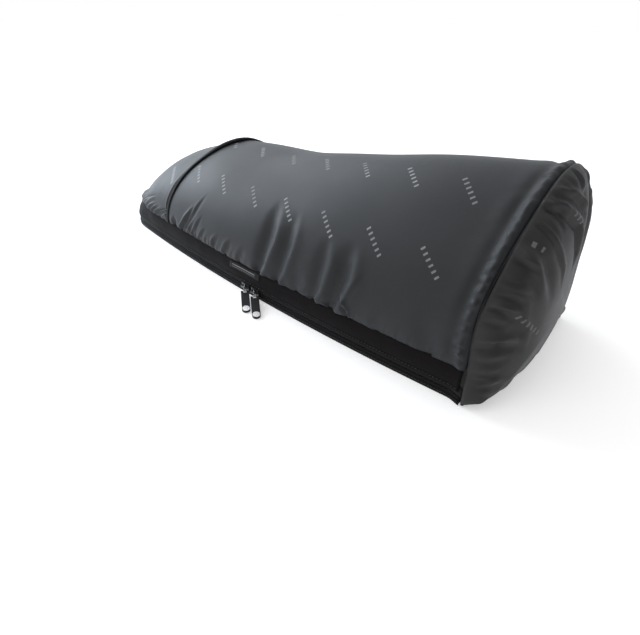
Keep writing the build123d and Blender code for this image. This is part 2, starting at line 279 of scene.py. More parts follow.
def foldDepth(at, fold):
    # height of one fold at places on the sheet: a valley with a lip beside it, or a ridge
    points = np.array(fold["line"], float)
    nearest = np.full(len(at), 1e9)
    side, along = np.zeros(len(at)), np.zeros(len(at))
    runs = np.linalg.norm(np.diff(points, axis=0), axis=1)
    total, before = runs.sum(), 0.0
    for i, run in enumerate(runs):
        direction = (points[i + 1] - points[i]) / run
        offset = at - points[i]
        t = np.clip(offset @ direction, 0, run)
        across = offset - t[:, None] * direction
        distance = np.linalg.norm(across, axis=1)
        closer = distance < nearest
        nearest = np.where(closer, distance, nearest)
        side = np.where(closer, np.sign(direction[0] * offset[:, 1] - direction[1] * offset[:, 0]), side)
        along = np.where(closer, (before + t) / total, along)
        before += run
    width, depth, lip = fold["width"], fold["depth"], fold["lip"]
    narrow = width * (0.55 + 0.45 * np.sin(np.pi * np.clip(along, 0.02, 0.98)))
    valley = -np.exp(-(nearest / narrow) ** 2)
    ridge = lip * np.exp(-((nearest - 1.5 * narrow) / (0.8 * narrow)) ** 2) * (side * fold["side"] > 0)
    fadeIn, fadeOut = fold["fade"]
    fade = easeStep(along, 0, fadeIn) * (1 - easeStep(along, 1 - fadeOut, 1))
    return depth * (valley + ridge) * fade


def relaxCloth(piece, pinned, loose, settings):
    # lets a sheet swell and settle between its pinned edges, with how far a point may move kept small
    rest = vertexArray(piece.data)
    group = piece.vertex_groups.new(name="pinned")
    for i, weight in enumerate(pinned):
        if weight > 0:
            group.add([i], float(weight), "REPLACE")
    cloth = piece.modifiers.new("cloth", "CLOTH")
    cloth.settings.quality = settings["quality"]
    cloth.settings.mass = settings["mass"]
    cloth.settings.tension_stiffness = cloth.settings.compression_stiffness = settings["stiffness"]
    cloth.settings.shear_stiffness = settings["shear"]
    cloth.settings.bending_stiffness = settings["bending"]
    cloth.settings.shrink_min, cloth.settings.shrink_max = 0.0, settings["shrink"]
    looser = piece.vertex_groups.new(name="looser")
    for i, weight in enumerate(loose):
        looser.add([i], float(weight), "REPLACE")
    cloth.settings.vertex_group_shrink = "looser"
    cloth.settings.use_pressure = True
    cloth.settings.uniform_pressure_force = settings["pressure"]
    cloth.settings.vertex_group_mass = "pinned"
    cloth.settings.effector_weights.gravity = 0
    cloth.point_cache.frame_end = settings["frames"]
    for number in range(1, settings["frames"] + 1):
        context.scene.frame_set(number)
    applyModifiers(piece)
    context.scene.frame_set(1)
    moved = (vertexArray(piece.data) - rest) * 1000
    length = np.linalg.norm(moved, axis=1)
    keep = np.minimum(1, settings["cap"] / np.maximum(length, 1e-9))
    moved = moved * keep[:, None]
    piece.data.vertices.foreach_set("co", (rest + moved / 1000).ravel())
    piece.data.update()
    return length


def nodeMaker(tree):
    def add(kind, settings=None, **sockets):
        node = tree.nodes.new(kind)
        for key, value in (settings or {}).items():
            setattr(node, key, value)
        for key, value in sockets.items():
            numbered = key[0] == "i" and key[1:].isdigit()
            socket = node.inputs[int(key[1:]) if numbered else key.replace("_", " ")]
            if isinstance(value, bpy.types.NodeSocket):
                tree.links.new(value, socket)
            else:
                socket.default_value = value
        return node
    return add


def calc(add, operation, *values, clamp=False):
    sockets = {f"i{k}": value for k, value in enumerate(values)}
    return add("ShaderNodeMath", {"operation": operation, "use_clamp": clamp}, **sockets).outputs[0]


def blend(add, amount, first, second):    # from one colour to a plain one
    return add("ShaderNodeMix", {"data_type": "RGBA"}, i0=amount, i6=first, i7=(*second, 1)).outputs[2]


def newGroup(name, inputs, outputs):
    tree = bpy.data.node_groups.new(name, "ShaderNodeTree")
    for label, kind, value in inputs:
        socket = tree.interface.new_socket(label, in_out="INPUT", socket_type="NodeSocket" + kind)
        if value is not None:
            socket.default_value = value
    for label, kind in outputs:
        tree.interface.new_socket(label, in_out="OUTPUT", socket_type="NodeSocket" + kind)
    given, out = tree.nodes.new("NodeGroupInput").outputs, tree.nodes.new("NodeGroupOutput").inputs
    return tree, nodeMaker(tree), given, out


def weaveGroup():    # plain weave or twill from the piece's own UV, in metres
    tree, add, given, out = newGroup("threadWeave", (
        ("UV", "Vector", None), ("Pitch", "Float", 0.0004), ("Twill", "Float", 0.0)),
        (("Height", "Float"), ("Thread", "Float")))
    parts = add("ShaderNodeSeparateXYZ", Vector=given["UV"])
    lean = calc(add, "MULTIPLY", parts.outputs["Y"], given["Twill"])
    across = calc(add, "ADD", parts.outputs["X"], lean)
    waves = []
    for source in (across, parts.outputs["Y"]):
        turns = calc(add, "DIVIDE", source, given["Pitch"])
        angle = calc(add, "MULTIPLY", turns, 2 * math.pi)
        waves.append(calc(add, "SINE", angle))
    product = calc(add, "MULTIPLY", waves[0], waves[1])
    height = calc(add, "MULTIPLY_ADD", product, 0.5, 0.5)
    thread = calc(add, "MULTIPLY_ADD", waves[0], 0.5, 0.5)
    tree.links.new(height, out["Height"])
    tree.links.new(thread, out["Thread"])
    return tree


def clothToneGroup():    # slow change of colour and gloss, and fine crumples, over a cloth
    tree, add, given, out = newGroup("clothTone", (
        ("Place", "Vector", None), ("Size", "Float", 12.0), ("Crumple Size", "Float", 60.0),
        ("Stretch", "Vector", (1, 1, 1))),
        (("Tone", "Float"), ("Crumple", "Float"), ("Lint", "Float")))
    slow = add("ShaderNodeTexNoise", Vector=given["Place"], Scale=given["Size"], Detail=3.0, Roughness=0.55)
    pulled = add("ShaderNodeVectorMath", {"operation": "MULTIPLY"}, i0=given["Place"], i1=given["Stretch"])
    folds = add("ShaderNodeTexNoise", {"noise_type": "RIDGED_MULTIFRACTAL"}, Vector=pulled.outputs[0],
                Scale=given["Crumple Size"],
                Detail=2.0, Roughness=0.4)
    lint = add("ShaderNodeTexNoise", Vector=given["Place"], Scale=900.0, Detail=1.0)
    flecks = add("ShaderNodeMapRange", i0=lint.outputs["Fac"], i1=0.72, i2=0.8, i3=0.0, i4=1.0)
    tree.links.new(slow.outputs["Fac"], out["Tone"])
    tree.links.new(folds.outputs["Fac"], out["Crumple"])
    tree.links.new(flecks.outputs[0], out["Lint"])
    return tree


def edgeWearGroup():    # brighter metal or plastic where edges are rubbed, and a fine grain
    tree, add, given, out = newGroup("edgeWear", (("Place", "Vector", None), ("Amount", "Float", 0.5)),
                                     (("Wear", "Float"), ("Grain", "Float")))
    curve = add("ShaderNodeNewGeometry")
    edges = add("ShaderNodeMapRange", i0=curve.outputs["Pointiness"], i1=0.5, i2=0.62, i3=0.0, i4=1.0)
    scratch = add("ShaderNodeTexNoise", Vector=given["Place"], Scale=800.0, Detail=4.0)
    mask = calc(add, "MULTIPLY", edges.outputs[0], scratch.outputs["Fac"])
    wear = calc(add, "MULTIPLY", mask, given["Amount"], clamp=True)
    tree.links.new(wear, out["Wear"])
    tree.links.new(scratch.outputs["Fac"], out["Grain"])
    return tree


dashPrint = {    # in metres on the cloth
    "low": 0.042, "rowStep": 0.066, "shift": 0.3775, "columnStep": 0.057, "end": 0.556, "slant": (0.66, 0.75),
    "halfGroup": 0.0165, "dashStep": 0.0055, "dashShare": 0.17, "halfDash": 0.0021,
}


def dashPrintGroup():    # faint printed dashes in slanting groups, a plain pattern
    tree, add, given, out = newGroup("dashPrint", (("UV", "Vector", None),), (("Mask", "Float"),))
    parts = add("ShaderNodeSeparateXYZ", Vector=given["UV"])
    slant, lean = dashPrint["slant"]
    u, v = parts.outputs["X"], parts.outputs["Y"]
    rowV = calc(add, "SUBTRACT", calc(add, "FRACT",
                                      calc(add, "DIVIDE", calc(add, "SUBTRACT", v, dashPrint["low"]),
                                           dashPrint["rowStep"])), 0.5)
    rowU = calc(add, "SUBTRACT", calc(add, "FRACT",
                                      calc(add, "DIVIDE", calc(add, "SUBTRACT", u, dashPrint["shift"]),
                                           dashPrint["columnStep"])), 0.5)
    x, y = calc(add, "MULTIPLY", rowU, dashPrint["columnStep"]), calc(add, "MULTIPLY", rowV,
            dashPrint["rowStep"])
    along = calc(add, "ADD", calc(add, "MULTIPLY", x, lean), calc(add, "MULTIPLY", y, -slant))
    across = calc(add, "ADD", calc(add, "MULTIPLY", x, slant), calc(add, "MULTIPLY", y, lean))
    inRow = calc(add, "LESS_THAN", calc(add, "ABSOLUTE", along), dashPrint["halfGroup"])
    dash = calc(add, "LESS_THAN", calc(add, "ABSOLUTE",
                                       calc(add, "SUBTRACT", calc(add, "FRACT",
                                               calc(add, "DIVIDE", along, dashPrint["dashStep"])), 0.5)),
                                               dashPrint["dashShare"])
    short = calc(add, "LESS_THAN", calc(add, "ABSOLUTE", across), dashPrint["halfDash"])
    # none by the strip or the cap seam
    inside = calc(add, "MULTIPLY", calc(add, "GREATER_THAN", v, dashPrint["low"]),
                  calc(add, "LESS_THAN", u, dashPrint["end"]))
    mask = calc(add, "MULTIPLY", calc(add, "MULTIPLY", calc(add, "MULTIPLY", inRow, dash), short), inside)
    tree.links.new(mask, out["Mask"])
    return tree


groups = {"weave": weaveGroup(), "tone": clothToneGroup(), "wear": edgeWearGroup(), "dashes": dashPrintGroup()}


def clothMaterial(name, look):
    material = bpy.data.materials.new(name)
    material.use_nodes = True
    tree = material.node_tree
    add = nodeMaker(tree)
    shader = tree.nodes["Principled BSDF"]
    coords = add("ShaderNodeTexCoord")
    uv = coords.outputs["UV"] if look.get("uv", True) else coords.outputs["Object"]
    weave = add("ShaderNodeGroup", {"node_tree": groups["weave"]}, UV=uv, Pitch=look["pitch"],
                Twill=look.get("twill", 0.0))
    tone = add("ShaderNodeGroup", {"node_tree": groups["tone"]}, Place=coords.outputs["Object"],
               Size=look.get("toneSize", 12.0),
               Crumple_Size=look.get("crumpleSize", 60.0), Stretch=look.get("stretch", (1, 1, 1)))
    shades = add("ShaderNodeMapRange", i0=tone.outputs["Tone"], i1=0.3, i2=0.7, i3=0.0, i4=1.0)
    colour = blend(add, shades.outputs[0], (*look["dark"], 1), look["light"])
    threadMask = calc(add, "MULTIPLY", weave.outputs["Thread"], look.get("threadShade", 0.25))
    colour = blend(add, threadMask, colour, look["thread"])
    lint = calc(add, "MULTIPLY", tone.outputs["Lint"], look.get("lint", 0.06))
    colour = blend(add, lint, colour, (0.35, 0.35, 0.36))
    if look.get("print"):
        dashes = add("ShaderNodeGroup", {"node_tree": groups["dashes"]}, UV=uv)
        fade = calc(add, "MULTIPLY", dashes.outputs["Mask"], tone.outputs["Tone"])
        strength = calc(add, "MULTIPLY", fade, look["print"])
        colour = blend(add, strength, colour, (0.42, 0.43, 0.45))
    for middle, half, end in look.get("stripes", ()):    # pale woven lines along a label
        parts = add("ShaderNodeSeparateXYZ", Vector=uv)
        away = calc(add, "SUBTRACT", parts.outputs["Y"], middle)
        level = calc(add, "COMPARE", away, 0.0, half)
        before = calc(add, "LESS_THAN", parts.outputs["X"], end)
        after = calc(add, "GREATER_THAN", parts.outputs["X"], 0.004)
        line = calc(add, "MULTIPLY", level, before)
        line = calc(add, "MULTIPLY", line, after)
        woven = calc(add, "MULTIPLY_ADD", weave.outputs["Height"], 0.5, 0.4)
        amount = calc(add, "MULTIPLY", line, woven)
        colour = blend(add, amount, colour, (0.30, 0.30, 0.31))
    rough = add("ShaderNodeMapRange", i0=tone.outputs["Tone"], i1=0.3, i2=0.7, i3=look["rough"][0],
                i4=look["rough"][1])
    first = add("ShaderNodeBump", Strength=look.get("crumple", 0.25), Distance=0.0012,
                Height=tone.outputs["Crumple"])
    second = add("ShaderNodeBump", Strength=look.get("weaveBump", 0.35),
                 Distance=look.get("weaveDepth", 0.0001),
                 Height=weave.outputs["Height"], Normal=first.outputs[0])
    tree.links.new(colour, shader.inputs["Base Color"])
    tree.links.new(rough.outputs[0], shader.inputs["Roughness"])
    tree.links.new(second.outputs[0], shader.inputs["Normal"])
    shader.inputs["Sheen Weight"].default_value = look.get("sheen", 0.2)
    shader.inputs["Sheen Roughness"].default_value = look.get("sheenRough", 0.4)
    shader.inputs["Sheen Tint"].default_value = (*look.get("sheenTint", (0.8, 0.88, 1.0)), 1)
    shader.inputs["Specular IOR Level"].default_value = look.get("specular", 0.5)
    return material


def hardMaterial(name, look):
    material = bpy.data.materials.new(name)
    material.use_nodes = True
    tree = material.node_tree
    add = nodeMaker(tree)
    shader = tree.nodes["Principled BSDF"]
    coords = add("ShaderNodeTexCoord")
    wear = add("ShaderNodeGroup", {"node_tree": groups["wear"]}, Place=coords.outputs["Object"],
               Amount=look.get("wear", 0.6))
    slow = add("ShaderNodeTexNoise", Vector=coords.outputs["Object"], Scale=look.get("toneSize", 150.0),
               Detail=3.0)
    colour = blend(add, slow.outputs["Fac"], (*look["dark"], 1), look["light"])
    colour = blend(add, wear.outputs["Wear"], colour, look["worn"])
    rough = add("ShaderNodeMapRange", i0=wear.outputs["Grain"], i1=0.3, i2=0.7, i3=look["rough"][0],
                i4=look["rough"][1])
    bumpNode = add("ShaderNodeBump", Strength=look.get("bump", 0.15), Distance=0.0001,
                   Height=wear.outputs["Grain"])
    tree.links.new(colour, shader.inputs["Base Color"])
    tree.links.new(rough.outputs[0], shader.inputs["Roughness"])
    tree.links.new(bumpNode.outputs[0], shader.inputs["Normal"])
    shader.inputs["Metallic"].default_value = look.get("metal", 0.0)
    shader.inputs["Specular IOR Level"].default_value = look.get("specular", 0.5)
    return material


looks = {
    # near-black nylon whose slight blue cast is partly painted light: the cool reflection on the top of the bag
    "satinNylon": {"dark": (0.0085, 0.0093, 0.0110), "light": (0.014, 0.0155, 0.0185),
                   "thread": (0.021, 0.0235, 0.028), "pitch": 0.00034,
                   "rough": (0.50, 0.58), "sheen": 0.10, "specular": 0.34, "sheenTint": (0.72, 0.84, 1.0),
                   "crumple": 0.18, "print": 1.0,
                   "stretch": (1.0, 0.45, 0.45), "crumpleSize": 45.0, "weaveBump": 0.25},
    # the end cap's satin nylon is the same cloth as satinNylon, given lighter and more neutral colours: painted
    # light on the cap and its seam roll
    "capNylonPaintedLighter": {"dark": (0.016, 0.0155, 0.0162), "light": (0.029, 0.0280, 0.0292),
                 "thread": (0.026, 0.027, 0.030), "pitch": 0.00034,
                 "rough": (0.50, 0.58), "sheen": 0.08, "specular": 0.34, "crumple": 0.22, "print": 0.5,
                 "stretch": (1, 1, 0.4), "crumpleSize": 40.0, "weaveBump": 0.25},
    "stripCloth": {"dark": (0.0045, 0.0036, 0.0040), "light": (0.0075, 0.0060, 0.0066),
                   "thread": (0.011, 0.0095, 0.0105), "pitch": 0.0009,
                   "rough": (0.72, 0.85), "sheen": 0.03, "crumple": 0.25, "stretch": (0.4, 0.4, 1.6),
                   "twill": 0.6, "specular": 0.10},
    "bindingTape": {"dark": (0.0040, 0.0036, 0.0040), "light": (0.0075, 0.0068, 0.0072),
                    "thread": (0.013, 0.012, 0.013), "pitch": 0.0006,
                    "rough": (0.68, 0.8), "sheen": 0.04, "crumple": 0.2, "specular": 0.16},
    "zipTape": {"dark": (0.0040, 0.0037, 0.0040), "light": (0.0075, 0.0070, 0.0074),
                "thread": (0.013, 0.012, 0.013), "pitch": 0.0007,
                "rough": (0.68, 0.8), "sheen": 0.04, "uv": False, "twill": 1.0, "specular": 0.16},
    "liningCloth": {"dark": (0.015, 0.015, 0.017), "light": (0.024, 0.024, 0.027),
                    "thread": (0.03, 0.03, 0.034), "pitch": 0.0005,
                    "rough": (0.7, 0.85), "sheen": 0.35, "sheenTint": (0.9, 0.92, 1.0), "crumple": 0.3},
    "baseCloth": {"dark": (0.009, 0.009, 0.010), "light": (0.016, 0.016, 0.018),
                  "thread": (0.024, 0.024, 0.027), "pitch": 0.0012,
                  "rough": (0.6, 0.75), "sheen": 0.15, "uv": False, "crumple": 0.15},
    "labelCloth": {"dark": (0.0045, 0.0042, 0.0046), "light": (0.008, 0.0075, 0.008),
                   "thread": (0.016, 0.015, 0.016), "pitch": 0.0005,
                   "rough": (0.6, 0.72), "sheen": 0.05, "specular": 0.2,
                   "stripes": ((0.0043, 0.00055, 0.043), (0.0021, 0.00022, 0.043))},
    "stitchThread": {"dark": (0.010, 0.010, 0.011), "light": (0.020, 0.020, 0.022),
                     "thread": (0.04, 0.04, 0.043), "pitch": 0.0005,
                     "rough": (0.45, 0.6), "sheen": 0.2, "uv": False},
}
materials = {name: clothMaterial(name, look) for name, look in looks.items()}
hardLooks = {
    "zipNylon": {"dark": (0.008, 0.008, 0.009), "light": (0.016, 0.016, 0.018), "worn": (0.06, 0.06, 0.065),
                 "rough": (0.32, 0.48)},
    "sliderMetal": {"dark": (0.02, 0.02, 0.022), "light": (0.04, 0.04, 0.043), "worn": (0.35, 0.35, 0.36),
                    "rough": (0.25, 0.42), "metal": 0.85, "wear": 0.8},
    "brightMetal": {"dark": (0.60, 0.61, 0.63), "light": (0.78, 0.79, 0.80), "worn": (0.9, 0.9, 0.9),
                    "rough": (0.14, 0.28), "metal": 1.0, "wear": 0.4},
    "pullRubber": {"dark": (0.0045, 0.0042, 0.0045), "light": (0.008, 0.0075, 0.008),
                   "worn": (0.03, 0.03, 0.031), "rough": (0.45, 0.6), "wear": 0.4, "specular": 0.28},
}
materials.update({name: hardMaterial(name, look) for name, look in hardLooks.items()})
print("materials made")


def dress(piece, material, body, slot, *nodes):
    piece.data.materials.clear()
    piece.data.materials.append(materials[material])
    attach(piece, body)
    if nodes:
        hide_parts(*nodes)
    return piece


topPanel = {
    "rows": 62, "columns": 78,        # before it is divided twice
    "seamShift": 5.5,                 # how far the cap seam runs to the nose low on the sides
    "mouthLift": 5.0,                 # the pocket mouth gapes on top
    "edgeRoll": 1.6, "edgeTuck": 1.3, # how the edge rolls over the strip seam
    "ridge": 3.4, "groove": 3.2,      # rolled ridge and groove along the cap seam
    "ridgeAt": (5.6, 4.0), "grooveWidth": 1.9,      # how far from the seam, and how wide
    "behindRidge": ((-1.1, 14, 4.0, 0.6), (0.9, 22, 7, 0.5)),    # height, place, width, steady share
    "rollReach": (3.5, 45), "tuckReach": 1.6,
    "gape": (-10, 36, 22),            # middle, width and depth of the pocket's gape
    "slack": ((1.1, 95.0, 1), (0.35, 30.0, 2)),     # height, size and seed of slow unevenness
    "thickness": 0.8, "hemWave": 1.1, "hemDrop": 0.6,
    "cloth": {"quality": 6, "stiffness": 30, "shear": 12, "bending": 1.2, "shrink": -0.05, "pressure": 0.9,
              "frames": 20, "cap": 4.5, "mass": 0.3},
}


def seamPlace(angle):    # the cap seam, from the nose tip, round the dome
    up = np.sin(angle)
    return bag["length"] - 0.4 - topPanel["seamShift"] * bump(up, 0.35, 0.38)


def domePlace(s, angle, lift=0.0):
    wide, high = halfWidth(s) + lift, domeTop(s) - bag["spring"] + lift
    degrees, byCap = np.degrees(angle), easeStep(s, 430, 577)
    sag = -5.0 * easeStep(s, 470, 577) * bump(degrees, 62, 24)    # the front shoulder has sunk by the cap
    crown = smoothLine(s, bag["crown"]) * bump(degrees, 98 - 5 * byCap, 46 - 18 * byCap)
    return np.stack([s + 0 * angle, -wide * np.cos(angle), bag["spring"] + high * np.sin(angle) + sag + crown],
                    -1)


def arcLength(s, angle):    # distance over the dome from the front strip seam
    steps = np.linspace(0, 1, 60)
    t = angle[..., None] * steps
    speed = np.hypot(halfWidth(s)[..., None] * np.sin(t), (domeTop(s) - bag["spring"])[..., None] * np.cos(t))
    return ((speed[..., 1:] + speed[..., :-1]) / 2).sum(-1) * angle / (len(steps) - 1)


def spreadAngles(count, crowd=0.72):    # closer together at both strip seams
    t = np.linspace(0, 1, count)
    return np.pi * (t - crowd * np.sin(2 * np.pi * t) / (2 * np.pi))


def topPanelGrid():
    angles = spreadAngles(topPanel["rows"])
    share = np.linspace(0, 1, topPanel["columns"])
    share = share - 0.35 * np.sin(2 * np.pi * share) / (2 * np.pi)
    start = np.full(len(angles), 150.0)
    for _ in range(12):
        start = mouthPlace(halfWidth(start) * np.cos(angles))
    s = start[:, None] + (seamPlace(angles) - start)[:, None] * share
    angle = np.repeat(angles[:, None], len(share), 1)
    return s, domePlace(s, angle), arcLength(s, angle)


folds = [
    foldRow(((176, 0), (188, 12), (197, 24), (206, 40)), 3.2, 2.9, 0.8, (0.05, 0.6)),
    foldRow(((184, 0), (197, 15), (207, 30), (222, 62)), 3.0, 1.7, 0.6, (0.05, 0.7)),
    foldRow(((193, 0), (203, 12), (212, 24)), 2.6, 1.3, 0.7, (0.05, 0.6)),
    foldRow(((203, 0), (214, 14), (226, 34)), 2.8, 1.3, 0.6, (0.05, 0.6)),
    foldRow(((219, 0), (227, 9), (236, 22)), 3.0, 1.0, 0.8, (0.05, 0.6)),
    foldRow(((158, 0), (163, 8), (166, 15)), 4.5, 3.0, 0.3, (0.02, 0.6)),
    foldRow(((246, 0), (252, 8), (262, 20)), 3.2, 1.2, 0.9, (0.05, 0.6)),
    foldRow(((270, 0), (277, 9), (286, 22)), 4.0, 1.8, 0.6, (0.05, 0.6)),
    foldRow(((296, 0), (303, 10), (309, 22)), 5.0, 1.2, 0.4, (0.05, 0.6)),
    foldRow(((327, 0), (334, 14), (338, 42), (334, 84)), 9.0, 4.4, 0.55, (0.02, 0.5), side=-1),
    foldRow(((357, 0), (364, 18), (367, 42), (365, 80)), 7.5, 3.3, 0.5, (0.02, 0.5), side=-1),
    foldRow(((387, 0), (390, 14), (394, 30)), 7.0, 1.2, 0.4, (0.02, 0.6)),
    foldRow(((409, 0), (414, 16), (416, 42), (414, 70)), 8.0, 3.0, 0.5, (0.02, 0.5), side=-1),
    foldRow(((431, 0), (436, 10), (442, 35), (444, 72)), 9.5, 4.8, 0.5, (0.02, 0.5), side=-1),
    foldRow(((456, 0), (453, 7), (445, 14), (438, 22)), 2.4, 1.8, 1.1, (0.02, 0.5), side=-1),
    foldRow(((452, 8), (455, 20), (461, 34), (467, 50)), 2.6, 1.0, 0.6, (0.1, 0.6)),
    foldRow(((486, 0), (492, 10), (498, 20)), 9.0, 1.0, 0.3, (0.02, 0.7)),
    foldRow(((541, 0), (537, 16), (531, 44)), 12.0, 1.4, 0.3, (0.02, 0.6)),
]


def seededPuckers():    # small gathers along the front strip seam
    pick = random.Random(11)
    made = []
    s = 182.0
    while s < 566:
        front = pick.uniform(0.5, 1.0) * (0.9 if s < 250 or 415 < s < 475 else 0.45)
        run = pick.uniform(7, 16)
        made.append(foldRow(((s, 0), (s + run * 0.35, run)), pick.uniform(1.8, 2.9), front, 0.8, (0.02, 0.7)))
        s += pick.uniform(6, 10) if s < 250 else pick.uniform(10, 22)
    return made


def backFolds(s, girth):    # the far side has gathers of the same kind
    pick = random.Random(23)
    made = []
    at = 165.0
    while at < 560:
        deep = pick.random() < 0.35
        run = pick.uniform(35, 80) if deep else pick.uniform(8, 20)
        edge = float(np.interp(at, s, girth))
        lean = pick.uniform(-0.1, 0.5)
        made.append(foldRow(((at, edge), (at + lean * run * 0.5, edge - run * 0.5),
                             (at + lean * run, edge - run)),
                             pick.uniform(7, 11) if deep else pick.uniform(2, 3.2),
                             pick.uniform(1.8, 3.2) if deep else pick.uniform(0.5, 1.2), 0.5, (0.02, 0.6)))
        at += pick.uniform(9, 26)
    return made


def makeTopPanel():
    s, places, girth = topPanelGrid()
    rows, columns = s.shape
    uv = np.stack([s, girth], -1).reshape(-1, 2)
    piece = makePiece("topPanel", places.reshape(-1, 3), gridFaces(rows, columns), uv, closed=False)
    i, j = np.indices(s.shape)
    edge = np.minimum.reduce([i, rows - 1 - i, j, columns - 1 - j])
    pinned = np.where(edge < 1, 1.0, 0.0).ravel()
    fromStrip = np.minimum(girth, girth[-1:] - girth)
    loose = np.exp(-fromStrip / 45) * (0.5 + 0.5 * bump(s, 250, 130) + 0.3 * bump(s, 440, 60))
    moved = relaxCloth(piece, pinned, np.clip(loose, 0, 1).ravel(), topPanel["cloth"])
    print("top panel cloth moved", round(float(moved.max()), 1), "mm at most,",
          round(float(moved.mean()), 2), "on average")
    finer = piece.modifiers.new("finer", "SUBSURF")
    finer.levels = finer.render_levels = 2
    finer.subdivision_type = "CATMULL_CLARK"
    finer.boundary_smooth = "PRESERVE_CORNERS"
    applyModifiers(piece)
    mesh = piece.data
    at = vertexUv(mesh)
    place = vertexArray(mesh) * 1000 + (-bag["noseTip"], 0, 0)
    across = place[:, 1]
    full = np.interp(at[:, 0], s[0], girth[-1])
    fromBack = full - at[:, 1]
    edgeDistance = np.minimum(at[:, 1], fromBack)
    theta = np.arctan2(np.maximum(place[:, 2] - bag["spring"], 0), -across)
    fromSeam = seamPlace(theta) - at[:, 0]
    fromMouth = at[:, 0] - mouthPlace(np.minimum(np.abs(across), 108))
    start, end = topPanel["rollReach"]
    height = topPanel["edgeRoll"] * (1 - np.exp(-edgeDistance / start)) * np.exp(-edgeDistance / end)
    height -= topPanel["edgeTuck"] * np.exp(-edgeDistance / topPanel["tuckReach"])
    pucker = softNoise(np.stack([at[:, 1], at[:, 1] * 0, at[:, 0] * 0.12], 1), 9.0, 3)
    ridge = topPanel["ridge"] * (1 - 0.4 * bump(np.degrees(theta), 98, 30))    # the ridge is flatter on top
    gather = softNoise(np.stack([at[:, 1], at[:, 1] * 0, at[:, 0] * 0.1], 1), 6.5, 21)
    height += ridge * bump(fromSeam, *topPanel["ridgeAt"]) * (1 + 0.35 * pucker + 0.3 * gather)
    height -= topPanel["groove"] * bump(fromSeam, 0, topPanel["grooveWidth"])
    for lift, where, width, steady in topPanel["behindRidge"]:
        height += lift * bump(fromSeam, where, width) * (steady + 0.5 * pucker)
    middle, width, depth = topPanel["gape"]
    height += topPanel["mouthLift"] * bump(across, middle, width) * np.exp(-np.maximum(fromMouth, 0) / depth)
    (slow, slowSize, slowSeed), (fine, fineSize, fineSeed) = topPanel["slack"]
    height += slow * softNoise(place, slowSize, slowSeed)
    height += fine * softNoise(place, fineSize, fineSeed) * np.exp(-edgeDistance / 60)
    for fold in folds + seededPuckers() + backFolds(s[-1], girth[-1]):
        height += foldDepth(at, fold)
    for fold in capSeamPuckers():
        height += foldDepth(np.stack([fromSeam, at[:, 1]], 1), fold)
    pushOut(mesh, height)
    hem = topPanel["hemWave"] * softNoise(inLine(at[:, 0]), 11.0, 6) * np.exp(-edgeDistance / 5)
    places = vertexArray(mesh)
    places[:, 2] += (hem - topPanel["hemDrop"] * np.exp(-edgeDistance / 4)) / 1000
    mesh.vertices.foreach_set("co", places.ravel())
    mesh.update()
    thicken(piece, topPanel["thickness"])
    dress(piece, "satinNylon", "lid", "satin_nylon", "top_panel")
    return piece


def capSeamPuckers():    # short gathers across the ridge beside the cap seam
    pick = random.Random(5)
    made, a = [], 10.0
    while a < 330:
        run = pick.uniform(8, 15)
        made.append(foldRow(((0.5, a), (run, a + pick.uniform(-4, 4))), pick.uniform(2.4, 3.6),
                            pick.uniform(0.7, 1.5), 0.6, (0.35, 0.5)))
        a += pick.uniform(6, 13)
    return made


makeTopPanel()
print("top panel made")

nosePanel = {"rows": 250, "columns": 84, "under": 16.0, "below": 3.4, "thickness": 0.7, "tipRoll": 12.0,
             "ridge": 1.5}


def nosePanelTop(x, y):
    wide = halfWidth(np.clip(x, 0.0, 560))
    share = np.clip(np.abs(y) / wide, 0, 1)
    tip = np.clip(x / nosePanel["tipRoll"], 0, 1)
    roll = np.sqrt(1 - (1 - tip) ** 2)
    return bag["spring"] + (domeTop(x) - bag["spring"]) * np.sqrt(1 - share ** 2) * roll


def makeNosePanel():
    places, normals, run = outlineLine(1.0)
    keep = places[:, 0] <= 147.0
    places, normals, run = places[keep], normals[keep], run[keep]
    run = run - run[0]
    at = np.linspace(0, run[-1], nosePanel["rows"])
    px, py = np.interp(at, run, places[:, 0]), np.interp(at, run, places[:, 1])
    target = np.linspace(-1, 1, nosePanel["rows"])
    innerY = 103.5 * np.sin(target * np.pi / 2 * 0.96) / math.sin(math.pi / 2 * 0.96)
    innerX = mouthPlace(innerY) + nosePanel["under"] * np.sqrt(np.clip(1 - (innerY / 104) ** 2, 0, 1))
    t = 1 - np.cos(np.linspace(0, 1, nosePanel["columns"]) * np.pi / 2)
    t = t * 0.85 + 0.15 * np.linspace(0, 1, nosePanel["columns"])
    x = px[:, None] + (innerX - px)[:, None] * t
    y = py[:, None] + (innerY - py)[:, None] * t
    z = nosePanelTop(x, y)
    edge = np.hypot(x - px[:, None], y - py[:, None])
    rise = z - bag["spring"]
    surface = np.hypot(edge, rise)
    grid = np.stack([x, y, z], -1)
    uv = np.stack([x, y + 150], -1).reshape(-1, 2)
    piece = makePiece("nosePanel", grid.reshape(-1, 3), gridFaces(*x.shape), uv, closed=False)
    mesh = piece.data
    sheet = np.stack([np.repeat(at[:, None], len(t), 1), surface], -1).reshape(-1, 2)
    flat = grid.reshape(-1, 3)
    fromMouth = mouthPlace(np.minimum(np.abs(flat[:, 1]), 108)) - flat[:, 0]
    height = 0.8 * (1 - np.exp(-sheet[:, 1] / 3.0)) * np.exp(-sheet[:, 1] / 30) - 0.8 * np.exp(-sheet[:,
            1] / 1.4)
    height -= nosePanel["below"] * easeStep(-fromMouth, -5, 1)
    height += nosePanel["ridge"] * bump(fromMouth, 7.0, 1.6) * (0.8 + 0.4 * softNoise(flat, 14.0, 19))
    height += 0.8 * softNoise(flat, 60.0, 4) + 0.3 * softNoise(flat, 17.0, 5)
    for fold in noseFolds(run[-1]):
        height += foldDepth(sheet, fold)
    pushOut(mesh, height)
    thicken(piece, nosePanel["thickness"])
    dress(piece, "satinNylon", "lid", "satin_nylon", "pocket_back")
    return piece


